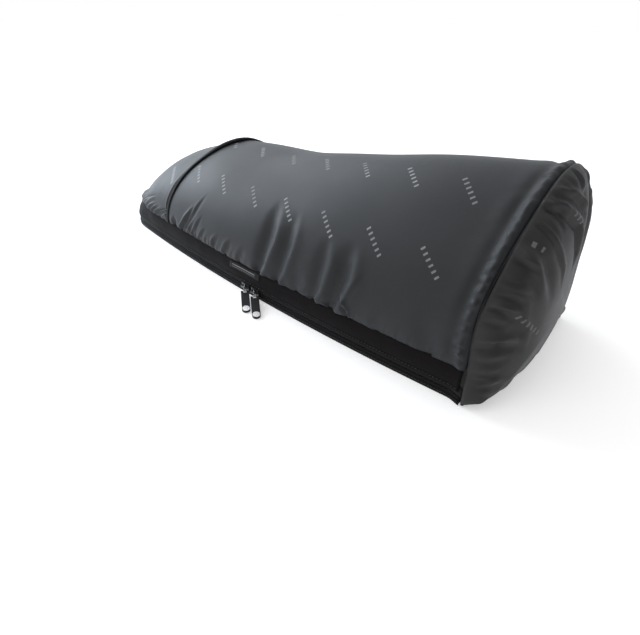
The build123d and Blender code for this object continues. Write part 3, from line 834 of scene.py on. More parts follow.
def noseFolds(total):    # soft slanting wrinkles that rise from the strip seam round the nose
    pick = random.Random(31)
    made, a = [], 4.0
    while a < total - 6:
        run = pick.uniform(14, 48)
        lean = pick.uniform(-0.9, -0.2) if a < total / 2 else pick.uniform(0.2, 0.9)
        made.append(foldRow(((a, 0), (a + lean * run * 0.5, run * 0.55), (a + lean * run, run)),
                            pick.uniform(2.2, 4.6), pick.uniform(0.6, 2.0), 0.9, (0.03, 0.6)))
        a += pick.uniform(7, 17)
    return made


makeNosePanel()
print("nose panel made")

pocketBinding = {"width": 6.6, "thick": 2.3, "steps": 200, "wider": 0.8, "taller": 1.1, "tilt": 1.6}


def makePocketBinding():
    angles = np.linspace(0.012, math.pi - 0.012, pocketBinding["steps"])
    start = np.full(len(angles), 150.0)
    for _ in range(12):
        start = mouthPlace(halfWidth(start) * np.cos(angles))
    lift = topPanel["mouthLift"] * bump(-halfWidth(start) * np.cos(angles), -10, 36)
    front, back = domePlace(start - 2.0, angles, 0.6), domePlace(start + 2.5, angles, 0.6)
    middle = domePlace(start, angles, 0.6)
    run = np.gradient(middle, axis=0)
    run /= np.linalg.norm(run, axis=1)[:, None]
    along = back - front
    along /= np.linalg.norm(along, axis=1)[:, None]
    up = np.cross(run, along)
    up *= np.sign(up[:, 2] + 1e-6)[:, None]
    out = np.where((np.sum(up * np.stack([0 * angles, -np.cos(angles), np.sin(angles)], 1), 1) > 0)[:, None],
                   up, -up)
    middle = middle + out * lift[:, None]
    sides = 14
    rows = []
    gape = bump(-halfWidth(start) * np.cos(angles), -10, 38)
    wide = pocketBinding["width"] / 2 * (1 + pocketBinding["wider"] * gape)
    creep = softNoise(inLine(angles * 60), 9.0, 20)
    for k in range(len(angles)):
        loop = []
        for n in range(sides):
            turn = 2 * math.pi * n / sides
            c, q = math.cos(turn), math.sin(turn)
            a = math.copysign(abs(c) ** 0.7, c) * wide[k]
            b = math.copysign(abs(q) ** 0.8,
                              q) * pocketBinding["thick"] / 2 * (1 + pocketBinding["taller"] * gape[k])
            rise = b + 0.25 - pocketBinding["tilt"] * (1 - 0.8 * gape[k]) * max(0, -a) / wide[k] * 0.5
            loop.append(middle[k] + along[k] * (a + 0.25 * creep[k]) + out[k] * (rise + 0.2 * creep[k]))
        rows.append(loop)
    rows = np.array(rows)
    length = runLength(middle)
    uv = [(length[i], j * 0.8) for i in range(len(rows)) for j in range(sides)]
    piece = makePiece("pocketBinding", rows.reshape(-1, 3), tubeFaces(len(rows), sides), uv)
    dress(piece, "bindingTape", "lid", "binding_tape", "pocket_binding")
    thick = pocketBinding["thick"] / 2 * (1 + pocketBinding["taller"] * gape) + 0.2
    return (middle + along * (0.5 * wide)[:, None] + out * thick[:, None])[2:-2]


bindingLine = makePocketBinding()
print("pocket binding made")

sideStrip = {"step": 2.4, "crown": 1.5, "wave": 0.8, "end": 571.5, "skirt": 0.1}


def stripOut(run):    # how far the strip stands out at each height, at places along it
    at = inLine(run)
    w = sideStrip["wave"] * (softNoise(at, 38.0, 7) + 0.5 * softNoise(at, 13.0, 8))
    c, skirt = sideStrip["crown"], sideStrip["skirt"]
    heights = (12.3, 12.9, 14.3, 15.0, 16.0, 19.0, 23.0, 27.0, 30.5, 32.8, 34.0)
    outs = (0 * w, skirt + 0 * w, skirt + 0.05 * w, -0.15 + 0 * w, 0.1 + 0.3 * w, 0.6 * c + 0.7 * w, c + w,
            0.9 * c + 0.9 * w,
            0.45 * c + 0.6 * w, -0.5 + 0.2 * w, -1.3 + 0 * w)
    return heights, np.array(outs).T


def makeSideStrip():
    places, normals, run = outlineLine(sideStrip["step"], frontEnd=sideStrip["end"], backEnd=576.5)
    heights, outs = stripOut(run)

    def profile(k):
        outside = [(-0.55, 12.2)] + list(zip(outs[k], heights))
        inside = [(-1.9, 34.0), (-1.7, 30.0), (-1.5, 23.0), (-1.4, 16.0), (-1.2, 12.5)]
        return outside + inside
    piece = sweepLoop("sideStrip", places, normals, profile)
    dress(piece, "stripCloth", "lid", "strip_webbing", "lid_strip")


makeSideStrip()
print("side strip made")

sideLabel = {"from": 283.0, "to": 335.0, "low": 25.0, "high": 31.4, "thick": 0.55}


def makeSideLabel():    # a plain woven label with a pale line, no lettering
    places, normals, run = outlineLine(1.3, frontEnd=sideStrip["end"])
    heights, outs = stripOut(run)
    front = (places[:, 1] < 0) & (places[:, 0] >= sideLabel["from"]) & (places[:, 0] <= sideLabel["to"])
    places, normals, run, outs = places[front], normals[front], run[front], outs[front]
    levels = np.linspace(sideLabel["low"], sideLabel["high"], 9)

    def profile(k):
        back = [(float(np.interp(z, heights, outs[k])) + 0.05, z) for z in levels]
        front = [(o + sideLabel["thick"] * (0.55 if n in (0, len(back) - 1) else 1.0), z) for n,
                 (o, z) in enumerate(back)]
        return front + back[::-1]
    piece = sweepLoop("sideLabel", places, normals, profile)
    layer = piece.data.uv_layers[0]
    for loop in piece.data.loops:    # the pattern of the label runs along it and up it
        place = piece.data.vertices[loop.vertex_index].co * 1000
        layer.data[loop.index].uv = ((place.x - bag["noseTip"] - sideLabel["from"]) / 1000,
                                     (place.z - sideLabel["low"]) / 1000)
    dress(piece, "labelCloth", "lid", "label_weave", "side_label")


makeSideLabel()
print("label made")

endCap = {
    "rim": 300, "coarseRim": 110, "rings": 60, "low": 4.6, "middle": 66.0, "thickness": 0.8,
    "squash": 0.42, "anchor": (0.2865, 0, 0),
    # how far the rolled rim stands out
    "edge": ((-98, 15.5), (-60, 15.5), (-30, 15), (0, 14), (30, 10), (60, 7), (80, 4.5), (98, 3)),
    # and the middle, across the bag
    "full": ((-98, 29), (-60, 29), (-30, 28), (0, 25), (30, 18.5), (60, 12.5), (80, 7.5), (98, 5)),
    "roll": 4.0, "reach": 60.0,
}


def capRise(yz, fromRim, less=0.0):    # the end bulges most at the front, and its back corner is slack
    y, z = yz[..., 0], yz[..., 1]
    edge, full = smoothLine(y, endCap["edge"]), smoothLine(y, endCap["full"])
    full = full * (1 - 0.14 * easeStep(z, 80, 150))
    edge = edge * (1 - 0.35 * easeStep(z, 125, 160)) * (1 - 0.3 * easeStep(z, 130, 160) * easeStep(y, 0, 35))
    roll = edge * (1 - np.exp(-fromRim / endCap["roll"]))
    middle = (full - edge) * (1 - (1 - np.clip(fromRim / endCap["reach"], 0, 1)) ** 2)
    return np.maximum(roll + middle - less * (1 - np.exp(-fromRim / 6)), 0)


def rimDistance(yz, rim):
    flat = yz.reshape(-1, 2)
    nearest = np.full(len(flat), 1e9)
    for point in rim:
        nearest = np.minimum(nearest, np.hypot(flat[:, 0] - point[0], flat[:, 1] - point[1]))
    return nearest.reshape(yz.shape[:-1])


# the seam round the end, from the front foot over the top to the back foot and along the floor
def capRim(count):
    wide = float(halfWidth(577.0))
    wall = np.linspace(endCap["low"], bag["spring"], 12)[:-1]
    angles = np.linspace(0, math.pi, 90)
    arch = domePlace(np.full(90, 577.0), angles)
    front = [(-wide, z) for z in wall]
    rim = front + [tuple(p[1:]) for p in arch] + [(wide, z) for z in wall[::-1]]
    rim += [(y, endCap["low"]) for y in np.linspace(wide, -wide, 44)[1:-1]]
    rim = np.array(rim + [rim[0]])
    run = np.concatenate(([0], np.cumsum(np.hypot(*np.diff(rim, axis=0).T))))
    at = np.linspace(0, run[-1], count + 1)[:-1]
    return np.stack([np.interp(at, run, rim[:, 0]), np.interp(at, run, rim[:, 1])], 1)


def makeEndCap():
    rim = capRim(endCap["rim"])
    centre = np.array([0.0, endCap["middle"]])
    ring = np.linspace(1, 0, endCap["rings"] + 1)[:-1]
    ring = 1 - (1 - ring) ** 1.25
    plan = centre + (rim - centre)[:, None, :] * ring[None, :, None]
    angle = np.arctan2(np.maximum(rim[:, 1] - bag["spring"], 0), -rim[:, 0])
    onDome = rim[:, 1] > bag["spring"] - 1
    start = np.where(onDome, seamPlace(angle),
                     np.interp(rim[:, 1], [endCap["low"], bag["spring"]], [577.0, float(seamPlace(0.0))])) + 0.6
    apart = rimDistance(plan, rim)
    apart[:, 0] = 0
    x = start[:, None] + (577.3 - start)[:, None] * easeStep(1 - ring, 0, 0.5)[None, :] + capRise(plan, apart)
    points = np.stack([x, plan[..., 0], plan[..., 1]], -1)
    rows, columns = x.shape
    flat = points.reshape(-1, 3)
    pole = np.array([[577.3 + float(capRise(centre, endCap["reach"])), centre[0], centre[1]]])
    faces = gridFaces(rows, columns, wrapRows=True)
    last = rows * columns
    faces += [(i * columns + columns - 1, last, (i + 1) % rows * columns + columns - 1) for i in range(rows)]
    uv = np.concatenate([np.stack([flat[:, 1] + 300, flat[:, 2]], 1), [[300, centre[1]]]])
    piece = makePiece("capPanel", np.concatenate([flat, pole]), faces, uv)
    mesh = piece.data
    place = vertexArray(mesh) * 1000 - (bag["noseTip"], 0, 0)
    yz = place[:, 1:]
    height = 0.9 * softNoise(place, 55.0, 9) + 0.35 * softNoise(place, 20.0, 10)
    for fold in capFolds():
        height += foldDepth(yz, fold)
    fromRim = rimDistance(yz, rim)
    height *= easeStep(fromRim, 0.0, 3.0)
    pushOut(mesh, height)
    thicken(piece, endCap["thickness"])
    dress(piece, "capNylonPaintedLighter", "lid", "satin_nylon", "cap_shell")
    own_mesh(piece)
    return piece


def capFolds():    # in (across, up) on the end of the bag
    made = [
        foldRow(((-44, 158), (-30, 152), (-14, 138), (-8, 118), (-12, 98)), 4.2, 3.0, 0.9, (0.05, 0.5)),
        foldRow(((-34, 166), (-16, 160), (0, 146), (8, 124), (8, 100)), 3.4, 2.4, 0.9, (0.05, 0.5)),
        foldRow(((-2, 166), (8, 150), (16, 124), (20, 92), (20, 62)), 6.0, 3.4, 0.5, (0.1, 0.6), side=-1),
        foldRow(((22, 164), (28, 144), (32, 112), (34, 84)), 5.0, 2.6, 0.6, (0.1, 0.6)),
        foldRow(((-62, 141), (-56, 128), (-48, 106), (-44, 84)), 5.5, 2.4, 0.6, (0.05, 0.6), side=-1),
        foldRow(((-52, 148), (-44, 132), (-34, 112), (-30, 90)), 2.6, 1.4, 0.9, (0.05, 0.6)),
        foldRow(((-72, 128), (-66, 112), (-60, 92)), 4.5, 1.8, 0.5, (0.05, 0.6)),
        foldRow(((-84, 106), (-76, 92), (-70, 76)), 4.0, 1.4, 0.5, (0.05, 0.6)),
        foldRow(((-92, 84), (-82, 72), (-74, 58)), 5.0, 1.2, 0.4, (0.05, 0.6)),
        foldRow(((-97, 14), (-84, 22), (-70, 26)), 4.5, 2.0, 0.5, (0.05, 0.6)),
        foldRow(((-97, 56), (-86, 60), (-74, 58), (-64, 50)), 4.5, 2.2, 0.8, (0.05, 0.6)),
        foldRow(((-90, 92), (-80, 84), (-72, 70), (-68, 52)), 4.5, 2.4, 0.8, (0.05, 0.6)),
        foldRow(((-40, 6), (-36, 16), (-26, 26), (-10, 32)), 5.0, 2.0, 0.6, (0.05, 0.6)),
        foldRow(((-70, 6), (-66, 18), (-60, 32)), 4.0, 1.6, 0.7, (0.05, 0.6)),
        foldRow(((46, 158), (48, 136), (50, 108)), 4.5, 2.2, 0.6, (0.05, 0.6)),
        foldRow(((66, 142), (64, 118), (60, 92)), 5.0, 2.0, 0.5, (0.05, 0.6)),
        foldRow(((84, 112), (78, 92), (70, 70)), 4.5, 1.6, 0.5, (0.05, 0.6)),
        foldRow(((97, 16), (84, 24), (68, 28)), 4.5, 1.8, 0.5, (0.05, 0.6)),
    ]
    pick = random.Random(41)
    rim = capRim(endCap["coarseRim"])
    for k in range(len(rim)):
        if pick.random() < 0.6:
            inward = np.array([0.0, endCap["middle"]]) - rim[k]
            inward /= np.linalg.norm(inward)
            end = rim[k] + inward * pick.uniform(7, 24)
            made.append(foldRow((tuple(rim[k]), tuple(end)), pick.uniform(1.6, 3.4), pick.uniform(0.6, 2.0),
                                0.8, (0.05, 0.6)))
    return made


makeEndCap()
print("end cap made")

seamRoll = {"sunk": -2.4, "wide": 1.2, "high": 1.0}


def makeSeamRoll():    # cord deep in the seam of the end cap
    angles = np.linspace(0, math.pi, 150)
    arch = domePlace(seamPlace(angles), angles, seamRoll["sunk"])
    foot = np.linspace(4.8, bag["spring"] - 0.5, 12)[:-1]
    low = np.array([(float(seamPlace(0.0)) + (577 - float(seamPlace(0.0))) * (1 - (z - 4.8) / 28.7),
                     -float(halfWidth(577.0)) - seamRoll["sunk"], z) for z in foot])
    high = low[::-1] * (1, -1, 1)
    line = np.concatenate([low, arch, high])
    run = np.gradient(line, axis=0)
    run /= np.linalg.norm(run, axis=1)[:, None]
    out = np.cross(run, (1.0, 0, 0))
    out /= np.linalg.norm(out, axis=1)[:, None]
    out = np.where((out[:, 1] * line[:, 1] + out[:, 2] * (line[:, 2] - 40) < 0)[:, None], -out, out)
    side = np.cross(run, out)
    sides = 10
    length = runLength(line)
    swell = 1 + 0.14 * softNoise(inLine(length), 8.0, 12)
    rows = []
    for k in range(len(line)):
        rows.append([line[k] + (out[k] * math.sin(t) * seamRoll["high"] + side[k] * math.cos(t)
                                * seamRoll["wide"]) * swell[k] for t in np.linspace(0, 2 * math.pi,
                                        sides + 1)[:-1]])
    rows = np.array(rows)
    uv = [(length[i], j * 1.1) for i in range(len(rows)) for j in range(sides)]
    piece = makePiece("capSeamRoll", rows.reshape(-1, 3), tubeFaces(len(rows), sides), uv)
    dress(piece, "capNylonPaintedLighter", "lid", "satin_nylon", "cap_seam_roll")


makeSeamRoll()
print("seam roll made")

def closedSheet(name, outer, inner, closedStart, wrap=False):
    # two sheets of the same layout, joined round their open edges
    rows, columns = outer.shape[:2]
    count = rows * columns
    faces = gridFaces(rows, columns,
                      wrapRows=wrap) + [f[::-1] for f in gridFaces(rows, columns, count, wrapRows=wrap)]
    for i in range(rows if wrap else rows - 1):
        a, b = i * columns + columns - 1, (i + 1) % rows * columns + columns - 1
        faces.append((a, b, b + count, a + count))
        if not closedStart:
            a, b = i * columns, (i + 1) % rows * columns
            faces.append((b, a, a + count, b + count))
    if not wrap:
        for j in range(columns - 1):
            a, b = j, j + 1
            faces.append((b, a, a + count, b + count))
            a, b = (rows - 1) * columns + j, (rows - 1) * columns + j + 1
            faces.append((a, b, b + count, a + count))
    points = np.concatenate([outer.reshape(-1, 3), inner.reshape(-1, 3)])
    uv = np.stack([points[:, 0], points[:, 1] + points[:, 2] + 300], 1)
    return makePiece(name, points, faces, uv)


lidPadding = {"around": 96, "along": 120, "edge": 2.2, "deep": 7.0, "inside": 8.6, "end": 575.5, "folds": 0.9}


def innerDome(inset, deepInset, lidEnd):
    # straight wall up the front, over the dome and down the back, closed on a pole in the nose wall
    wall = np.linspace(bag["stripBottom"] + 0.3, bag["spring"], 9)[:-1]
    angles = np.linspace(0, math.pi, lidPadding["around"] - 2 * len(wall))
    s = np.concatenate([bag["noseRadius"] * (1 - np.cos(np.linspace(0.12, math.acos(0.1), 22))),
                        np.linspace(62, lidEnd, lidPadding["along"] - 22)])
    columns = []
    for place in s:
        place = max(place, inset + 0.6)
        top = float(domeTop(place))
        wide = float(halfWidth(place))
        deep = min(deepInset, inset + 0.16 * (top - bag["spring"]))
        inward = inset + (deep - inset) * np.sin(angles) ** 0.5
        edge = wide - inset
        if place < bag["noseRadius"]:    # keep the wall the same distance in round the nose corner
            r = bag["noseRadius"] - inset
            edge = bag["noseFlat"] + math.sqrt(max(r * r - (bag["noseRadius"] - place) ** 2, 1.0))
        y = -(edge - (inward - inset)) * np.cos(angles)
        z = bag["spring"] + (top - bag["spring"] - inward) * np.sin(angles)
        column = [(place, -edge, h) for h in wall] + list(zip([place] * len(angles), y, z)) + [(place, edge,
                h) for h in wall[::-1]]
        columns.append(column)
    grid = np.array(columns).transpose(1, 0, 2)
    first = grid[:, 0].copy()
    middle = first.mean(0) * (1, 0, 1)
    middle[2] = 20.0
    closing = [middle + (first - middle) * k for k in (0.0, 0.35, 0.7)]
    return np.concatenate([np.stack(closing, 1), grid], 1)


def makeLidPadding():
    outer = innerDome(lidPadding["edge"], lidPadding["deep"], lidPadding["end"])
    inner = innerDome(lidPadding["inside"], lidPadding["inside"] + 1.6, lidPadding["end"])
    piece = closedSheet("lidPadding", outer, inner, True)
    mesh = piece.data
    place = vertexArray(mesh) * 1000 + (-bag["noseTip"], 0, 0)
    height = lidPadding["folds"] * softNoise(place * (1, 0.6, 0.6), 34.0, 14) * easeStep(place[:, 2], 20, 45)
    pushOut(mesh, height)
    dress(piece, "liningCloth", "lid", "lining_cloth", "lid_foam", "lid_lining")


makeLidPadding()


def makeCapPadding():
    rim = capRim(endCap["coarseRim"])
    centre = np.array([0.0, endCap["middle"]])
    ring = np.linspace(0.0, 1, 22)
    sheets = []
    for inset, drop in ((5.4, 5.5), (8.6, 8.0)):
        edge = centre + (rim - centre) * (1 - inset / np.linalg.norm(rim - centre, axis=1))[:, None]
        plan = centre + (edge - centre)[:, None, :] * ring[None, :, None]
        x = 577.6 + capRise(plan, rimDistance(plan, edge), drop)
        sheets.append(np.stack([x, plan[..., 0], plan[..., 1]], -1))
    piece = closedSheet("capPadding", sheets[0], sheets[1], True, wrap=True)
    dress(piece, "liningCloth", "lid", "lining_cloth", "cap_foam", "cap_lining")
    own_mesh(piece)


makeCapPadding()
print("insides made")

basePanel = {
    "end": 574.7, "spine": (74.0, 520.0), "step": 4.0,
    "padInset": 1.6, "padBottom": 1.15, "padEdge": 3.5,
    "padRise": 4.3, "riseAt": (2.5, 10.5),     # height gained inside the rim, and where
    "quilt": (0.9, 17.0, 2.0), "ripple": 0.5,  # depth, place and width of the quilting line
    "shellInset": 1.1, "shellTop": 1.0, "dimple": 0.25,
}


def baseRings(inset, step, marks):
    # rings from the rim of the base in to a line down its middle; marks are shares of the way in
    places, normals, _ = outlineLine(step, frontEnd=basePanel["end"], backEnd=basePanel["end"])
    rim = places - normals * inset
    rim[:, 0] = np.minimum(rim[:, 0], basePanel["end"] - inset * 0.6)
    across = np.linspace(rim[-1, 1], rim[0, 1], int(2 * abs(rim[0, 1]) / step) // 2 * 2 + 1)[1:-1]
    rim = np.concatenate([rim, np.stack([np.full(len(across), rim[0, 0]), across], 1)])
    spine = np.stack([np.clip(rim[:, 0], *basePanel["spine"]), rim[:, 1] * 0], 1)
    marks = np.asarray(marks)
    grid = rim[:, None, :] + (spine - rim)[:, None, :] * marks[None, :, None]
    distance = np.linalg.norm(grid - rim[:, None, :], axis=2)
    return grid[:, ::-1], distance[:, ::-1]


def makeBasePieces():
    marks = np.concatenate([np.linspace(0, 0.12, 9)[:-1], np.linspace(0.12, 1, 18)])
    grid, distance = baseRings(basePanel["padInset"], basePanel["step"], marks)
    low = np.concatenate([grid, np.full((*grid.shape[:2], 1), basePanel["padBottom"])], 2)
    flat = np.concatenate([grid, grid[..., :1] * 0], 2).reshape(-1, 3)
    ripple = softNoise(flat, 46.0, 15).reshape(distance.shape) * basePanel["ripple"] * easeStep(distance, 8, 40)
    depth, where, width = basePanel["quilt"]
    rise = basePanel["padRise"] * easeStep(distance, *basePanel["riseAt"])
    top = basePanel["padEdge"] + rise + ripple - depth * bump(distance, where, width)
    high = np.concatenate([grid, top[..., None]], 2)
    pad = closedSheet("basePad", high, low, True, wrap=True)
    dress(pad, "liningCloth", "base", "lining_cloth", "base_foam", "base_lining")
    grid, distance = baseRings(basePanel["shellInset"], basePanel["step"], marks)
    flat = np.concatenate([grid, grid[..., :1] * 0], 2).reshape(-1, 3)
    dimple = basePanel["dimple"] * (softNoise(flat, 38.0,
                                              16).reshape(distance.shape) + 0.6) * easeStep(distance, 3, 12)
    under = np.concatenate([grid, np.clip(dimple, 0, 0.5)[..., None] + 0.02], 2)
    above = np.concatenate([grid, np.full((*grid.shape[:2], 1), basePanel["shellTop"])], 2)
    shell = closedSheet("baseUnderside", above, under, True, wrap=True)
    dress(shell, "baseCloth", "base", "binding_tape", "base_shell")

    places, normals, run = outlineLine(3.0, frontEnd=basePanel["end"], backEnd=basePanel["end"])
    wave = softNoise(inLine(run), 30.0, 17)
    edge = sweepLoop("baseBinding", places, normals, lambda k: [
        (-1.25, 0.05), (-0.5, 0.0), (-0.1, 0.35), (0.12 + 0.12 * wave[k], 1.4), (0.1 + 0.15 * wave[k], 2.6),
        (-0.1, 3.7), (-0.5, 4.15), (-1.0, 4.0), (-1.15, 3.2), (-1.2, 1.2)])
    dress(edge, "bindingTape", "base", "binding_tape", "base_binding")
    tapes = (("baseZipTape", "base", "base_zip_tape", 1.15, 7.4, 574.7),
             ("lidZipTape", "lid", "lid_zip_tape", 8.6, 16.9, 576.5))
    for name, body, node, bottom, top, end in tapes:
        places, normals, run = outlineLine(3.0, frontEnd=end, backEnd=end)
        height = (top - bottom) / 2
        tape = sweepLoop(name, places, normals, lambda k: [
            (-1.65, bottom + 0.1), (-1.4, bottom), (-1.12, bottom + 0.15), (-1.1, bottom + height),
            (-1.12, top - 0.15), (-1.4, top), (-1.65, top - 0.1), (-1.7, bottom + height)])
        dress(tape, "zipTape", body, "binding_tape", node)


makeBasePieces()
print("base made")

hingeSeam = {"centre": (577.0, 2.0), "radius": 1.9, "steps": 90, "sides": 12, "swell": 0.06, "endRound": 1.5,
             "tallest": 1.04}


def makeHingeSeam():    # rolled seam at the foot of the cap, rounded at both ends
    low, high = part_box("hinge_seam")
    y = np.linspace(low.y * 1000, high.y * 1000, hingeSeam["steps"])
    swell = 1 + hingeSeam["swell"] * softNoise(inLine(y), 7.0, 18)
    points, sides, radius = [], hingeSeam["sides"], hingeSeam["radius"]
    for k, place in enumerate(y):
        past = max(0, abs(place) - (high.y * 1000 - hingeSeam["endRound"]))
        ends = math.sqrt(max(0.05, 1 - past ** 2 / hingeSeam["endRound"] ** 2))
        across, tall = radius * swell[k] * ends, radius * min(swell[k], hingeSeam["tallest"]) * ends
        points += [(hingeSeam["centre"][0] + across * math.cos(a), place,
                    hingeSeam["centre"][1] + tall * math.sin(a))
                   for a in np.linspace(0, 2 * math.pi, sides + 1)[:-1]]
    uv = [(y[i] + 100, j) for i in range(len(y)) for j in range(sides)]
    piece = makePiece("hingeSeam", points, tubeFaces(len(y), sides), uv)
    dress(piece, "bindingTape", "base", "binding_tape", "hinge_seam")


makeHingeSeam()

def repeatTree(name, material, facets):    # a small ball, stretched, at even steps along a curve
    tree = bpy.data.node_groups.new(name, "GeometryNodeTree")
    face = tree.interface
    face.new_socket("Geometry", in_out="INPUT", socket_type="NodeSocketGeometry")
    for label, kind, value in (("Spacing", "Float", 0.003), ("Size", "Vector", (1, 1, 1)),
                               ("Wander", "Float", 0.0), ("Seed", "Int", 4)):
        face.new_socket(label, in_out="INPUT", socket_type="NodeSocket" + kind).default_value = value
    face.new_socket("Geometry", in_out="OUTPUT", socket_type="NodeSocketGeometry")
    add = nodeMaker(tree)
    given = tree.nodes.new("NodeGroupInput").outputs
    out = tree.nodes.new("NodeGroupOutput").inputs
    line = add("GeometryNodeResampleCurve", {"mode": "LENGTH"}, Curve=given["Geometry"],
               Length=given["Spacing"])
    ball = add("GeometryNodeMeshUVSphere", Segments=facets[0], Rings=facets[1], Radius=0.5)
    shaped = add("GeometryNodeTransform", Geometry=ball.outputs["Mesh"], Scale=given["Size"])
    tangent = tree.nodes.new("GeometryNodeInputTangent")
    turn = add("FunctionNodeAlignRotationToVector", {"axis": "X", "pivot_axis": "AUTO"},
               Vector=tangent.outputs[0])
    jitter = add("FunctionNodeRandomValue", {"data_type": "FLOAT_VECTOR"}, Min=(-1, -1, -1), Max=(1, 1, 1),
                 Seed=given["Seed"])
    scaled = add("ShaderNodeVectorMath", {"operation": "SCALE"}, i0=jitter.outputs[0], Scale=given["Wander"])
    moved = add("GeometryNodeSetPosition", Geometry=line.outputs[0], Offset=scaled.outputs[0])
    copies = add("GeometryNodeInstanceOnPoints", Points=moved.outputs[0], Instance=shaped.outputs[0],
                 Rotation=turn.outputs[0])
    real = add("GeometryNodeRealizeInstances", Geometry=copies.outputs[0])
    painted = add("GeometryNodeSetMaterial", Geometry=real.outputs[0], Material=materials[material])
    tree.links.new(painted.outputs[0], out["Geometry"])
    return tree


def repeatAlong(name, tree, line, values):    # one mesh of small shapes set along an open line, in mm
    curve = bpy.data.curves.new(name + "Line", "CURVE")
    curve.dimensions = "3D"
    spline = curve.splines.new("POLY")
    spline.points.add(len(line) - 1)
    spline.points.foreach_set("co", np.concatenate([toFrame(line), np.ones((len(line), 1))], 1).ravel())
    source = bpy.data.objects.new(name + "Line", curve)
    context.scene.collection.objects.link(source)
    repeat = source.modifiers.new("repeat", "NODES")
    repeat.node_group = tree
    for item in tree.interface.items_tree:
        if item.item_type == "SOCKET" and item.in_out == "INPUT" and item.name in values:
            repeat[item.identifier] = values[item.name]
    depsgraph = context.evaluated_depsgraph_get()
    mesh = bpy.data.meshes.new_from_object(source.evaluated_get(depsgraph), depsgraph=depsgraph)
    mesh.name = name
    bpy.data.objects.remove(source)
    bpy.data.curves.remove(curve)
    piece = bpy.data.objects.new(name, mesh)
    context.scene.collection.objects.link(piece)
    mesh.shade_smooth()
    return piece


def outlineRow(frontEnd, backEnd, out, height):    # a line round the bag at one height
    places, normals, _ = outlineLine(2.0, frontEnd=frontEnd, backEnd=backEnd)
    return np.concatenate([places + normals * out, np.full((len(places), 1), height)], 1)


coil = {
    "pitch": 1.5, "size": (0.00105, 0.0021, 0.0023), "out": -2.7, "facets": (8, 6),
    "halves": (("lidCoil", "lid", "lid_zip_coil", 9.7, 576.0),
               ("baseCoil", "base", "base_zip_coil", 6.3, 574.2)),
}
coilTree = repeatTree("coilTeeth", "zipNylon", coil["facets"])
for name, body, node, height, end in coil["halves"]:
    line = outlineRow(end, end, coil["out"], height)
    piece = repeatAlong(name, coilTree, line, {"Spacing": coil["pitch"] / 1000, "Size": coil["size"]})
    dress(piece, "zipNylon", body, "zip_nylon", node)

stitch = {"size": (0.0024, 0.00055, 0.00055), "wander": 0.00006, "facets": (6, 4)}
stitchRows = (    # piece, line, gap in mm, body, slot
    ("stripStitches", outlineRow(sideStrip["end"] - 3, 573.5, 0.25, 14.3), 3.4, "lid", "strip_webbing"),
    ("bindingStitches", bindingLine, 3.1, "lid", "binding_tape"),
    ("baseStitches", outlineRow(560, 572, 0.15, 3.1), 3.1, "base", "binding_tape"),
)
stitchTree = repeatTree("seamStitches", "stitchThread", stitch["facets"])
for name, line, gap, body, slot in stitchRows:
    piece = repeatAlong(name, stitchTree, line,
                        {"Spacing": gap / 1000, "Size": stitch["size"], "Wander": stitch["wander"]})
    dress(piece, "stitchThread", body, slot)
print("zip coils and stitches made")

studio = {
    "floor": (0.84, 0.84, 0.84, 1), "floorGlow": 0.42,
    "worldDim": 0.22, "worldBright": 0.95, "brightSide": (-0.72, 0.42, 0.55),
    "lamps": (
        ("keyLamp", (-1.9, 0.3, 1.3), (-0.15, 0, 0.05), 28, 1.9, (0.86, 0.93, 1.0)),
        ("fillLamp", (-0.3, -1.7, 1.3), (0, 0, 0.05), 9, 1.6, (1.0, 0.98, 0.96)),
        ("noseLamp", (-0.80, -0.22, 0.34), (-0.25, 0, 0.06), 4.0, 0.45, (0.80, 0.90, 1.0)),
    ),
}


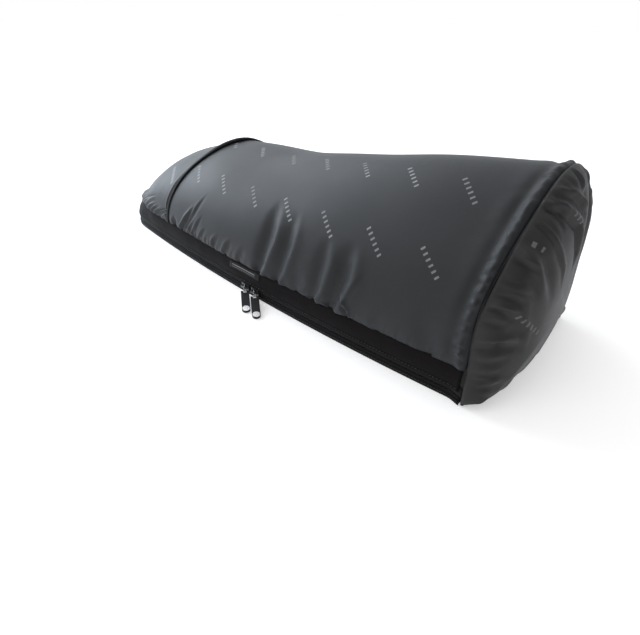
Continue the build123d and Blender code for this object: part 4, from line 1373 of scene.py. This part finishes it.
def makeStage():
    mesh = bpy.data.meshes.new("floor")
    mesh.from_pydata([(-6, -6, 0), (6, -6, 0), (6, 6, 0), (-6, 6, 0)], [], [(0, 1, 2, 3)])
    floor = bpy.data.objects.new("floor", mesh)
    context.scene.collection.objects.link(floor)
    material = bpy.data.materials.new("floorWhite")
    material.use_nodes = True
    tree = material.node_tree
    add = nodeMaker(tree)
    shader = tree.nodes["Principled BSDF"]
    shader.inputs["Base Color"].default_value = studio["floor"]
    shader.inputs["Roughness"].default_value = 0.6
    shader.inputs["Specular IOR Level"].default_value = 0.2
    path = add("ShaderNodeLightPath")
    seen = calc(add, "MAXIMUM", path.outputs["Is Camera Ray"], path.outputs["Is Glossy Ray"])
    seenToo = calc(add, "MAXIMUM", seen, path.outputs["Is Transmission Ray"])
    glow = calc(add, "MULTIPLY", seenToo, studio["floorGlow"])
    light = add("ShaderNodeEmission", Color=(1, 1, 1, 1), Strength=glow)
    both = add("ShaderNodeAddShader", i0=shader.outputs[0], i1=light.outputs[0])
    tree.links.new(both.outputs[0], tree.nodes["Material Output"].inputs["Surface"])
    floor.data.materials.append(material)

    world = bpy.data.worlds.new("studioWorld")
    context.scene.world = world
    world.use_nodes = True
    tree = world.node_tree
    add = nodeMaker(tree)
    back = tree.nodes["Background"]
    path = add("ShaderNodeLightPath")
    coords = add("ShaderNodeTexCoord")
    toward = add("ShaderNodeVectorMath", {"operation": "DOT_PRODUCT"}, i0=coords.outputs["Generated"],
                 i1=studio["brightSide"])
    level = add("ShaderNodeMapRange", i0=toward.outputs["Value"], i1=-0.8, i2=1.0, i3=studio["worldDim"],
                i4=studio["worldBright"])
    strength = add("ShaderNodeMapRange", i0=path.outputs["Is Camera Ray"], i1=0.0, i2=1.0, i3=level.outputs[0],
                   i4=1.0)
    back.inputs["Color"].default_value = (1, 1, 1, 1)
    tree.links.new(strength.outputs[0], back.inputs["Strength"])


def softLamp(name, place, aim, power, size, colour=(1, 1, 1)):
    data = bpy.data.lights.new(name, "AREA")
    data.energy, data.size, data.color = power, size, colour
    lamp = bpy.data.objects.new(name, data)
    context.scene.collection.objects.link(lamp)
    lamp.location = place
    lamp.rotation_euler = (Vector(aim) - Vector(place)).to_track_quat("-Z", "Y").to_euler()


viewer = {"place": (0.4176, -0.4032, 0.2828), "heading": (-0.694, 0.720), "down": 32.82, "roll": 1.15,
          "lens": 28.125, "sensor": 36.0}


def makeCamera():
    down = math.radians(viewer["down"])
    heading = [part * math.cos(down) for part in viewer["heading"]]
    forward = Vector((*heading, -math.sin(down))).normalized()
    right = forward.cross(Vector((0, 0, 1))).normalized()
    up = right.cross(forward)
    roll = math.radians(viewer["roll"])
    across = right * math.cos(roll) + up * math.sin(roll)
    above = up * math.cos(roll) - right * math.sin(roll)
    data = bpy.data.cameras.new("camera")
    data.lens, data.sensor_width = viewer["lens"], viewer["sensor"]
    camera = bpy.data.objects.new("camera", data)
    context.scene.collection.objects.link(camera)
    turn = Matrix((across, above, -forward)).transposed().to_4x4()
    camera.matrix_world = Matrix.Translation(viewer["place"]) @ turn
    context.scene.camera = camera


makeStage()
for lamp in studio["lamps"]:
    softLamp(*lamp)
makeCamera()
print("stage, lamps and camera made")

finishes = (    # the first word found in a node's name picks its material
    ("lining", "liningCloth"), ("foam", "liningCloth"), ("coil", "zipNylon"), ("tape", "zipTape"),
    ("stops", "brightMetal"),
    ("slider", "sliderMetal"), ("link", "brightMetal"), ("disc", "brightMetal"), ("tab", "pullRubber"),
    ("label", "labelCloth"), ("binding", "bindingTape"), ("seam", "bindingTape"), ("shell", "baseCloth"),
    ("strip", "stripCloth"), ("panel", "satinNylon"), ("", "baseCloth"),
)
for name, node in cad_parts.items():    # CAD nodes that stay get a finish of their own
    kind = next(finish for word, finish in finishes if word in name)
    node.data.materials.clear()
    node.data.materials.append(materials[kind])
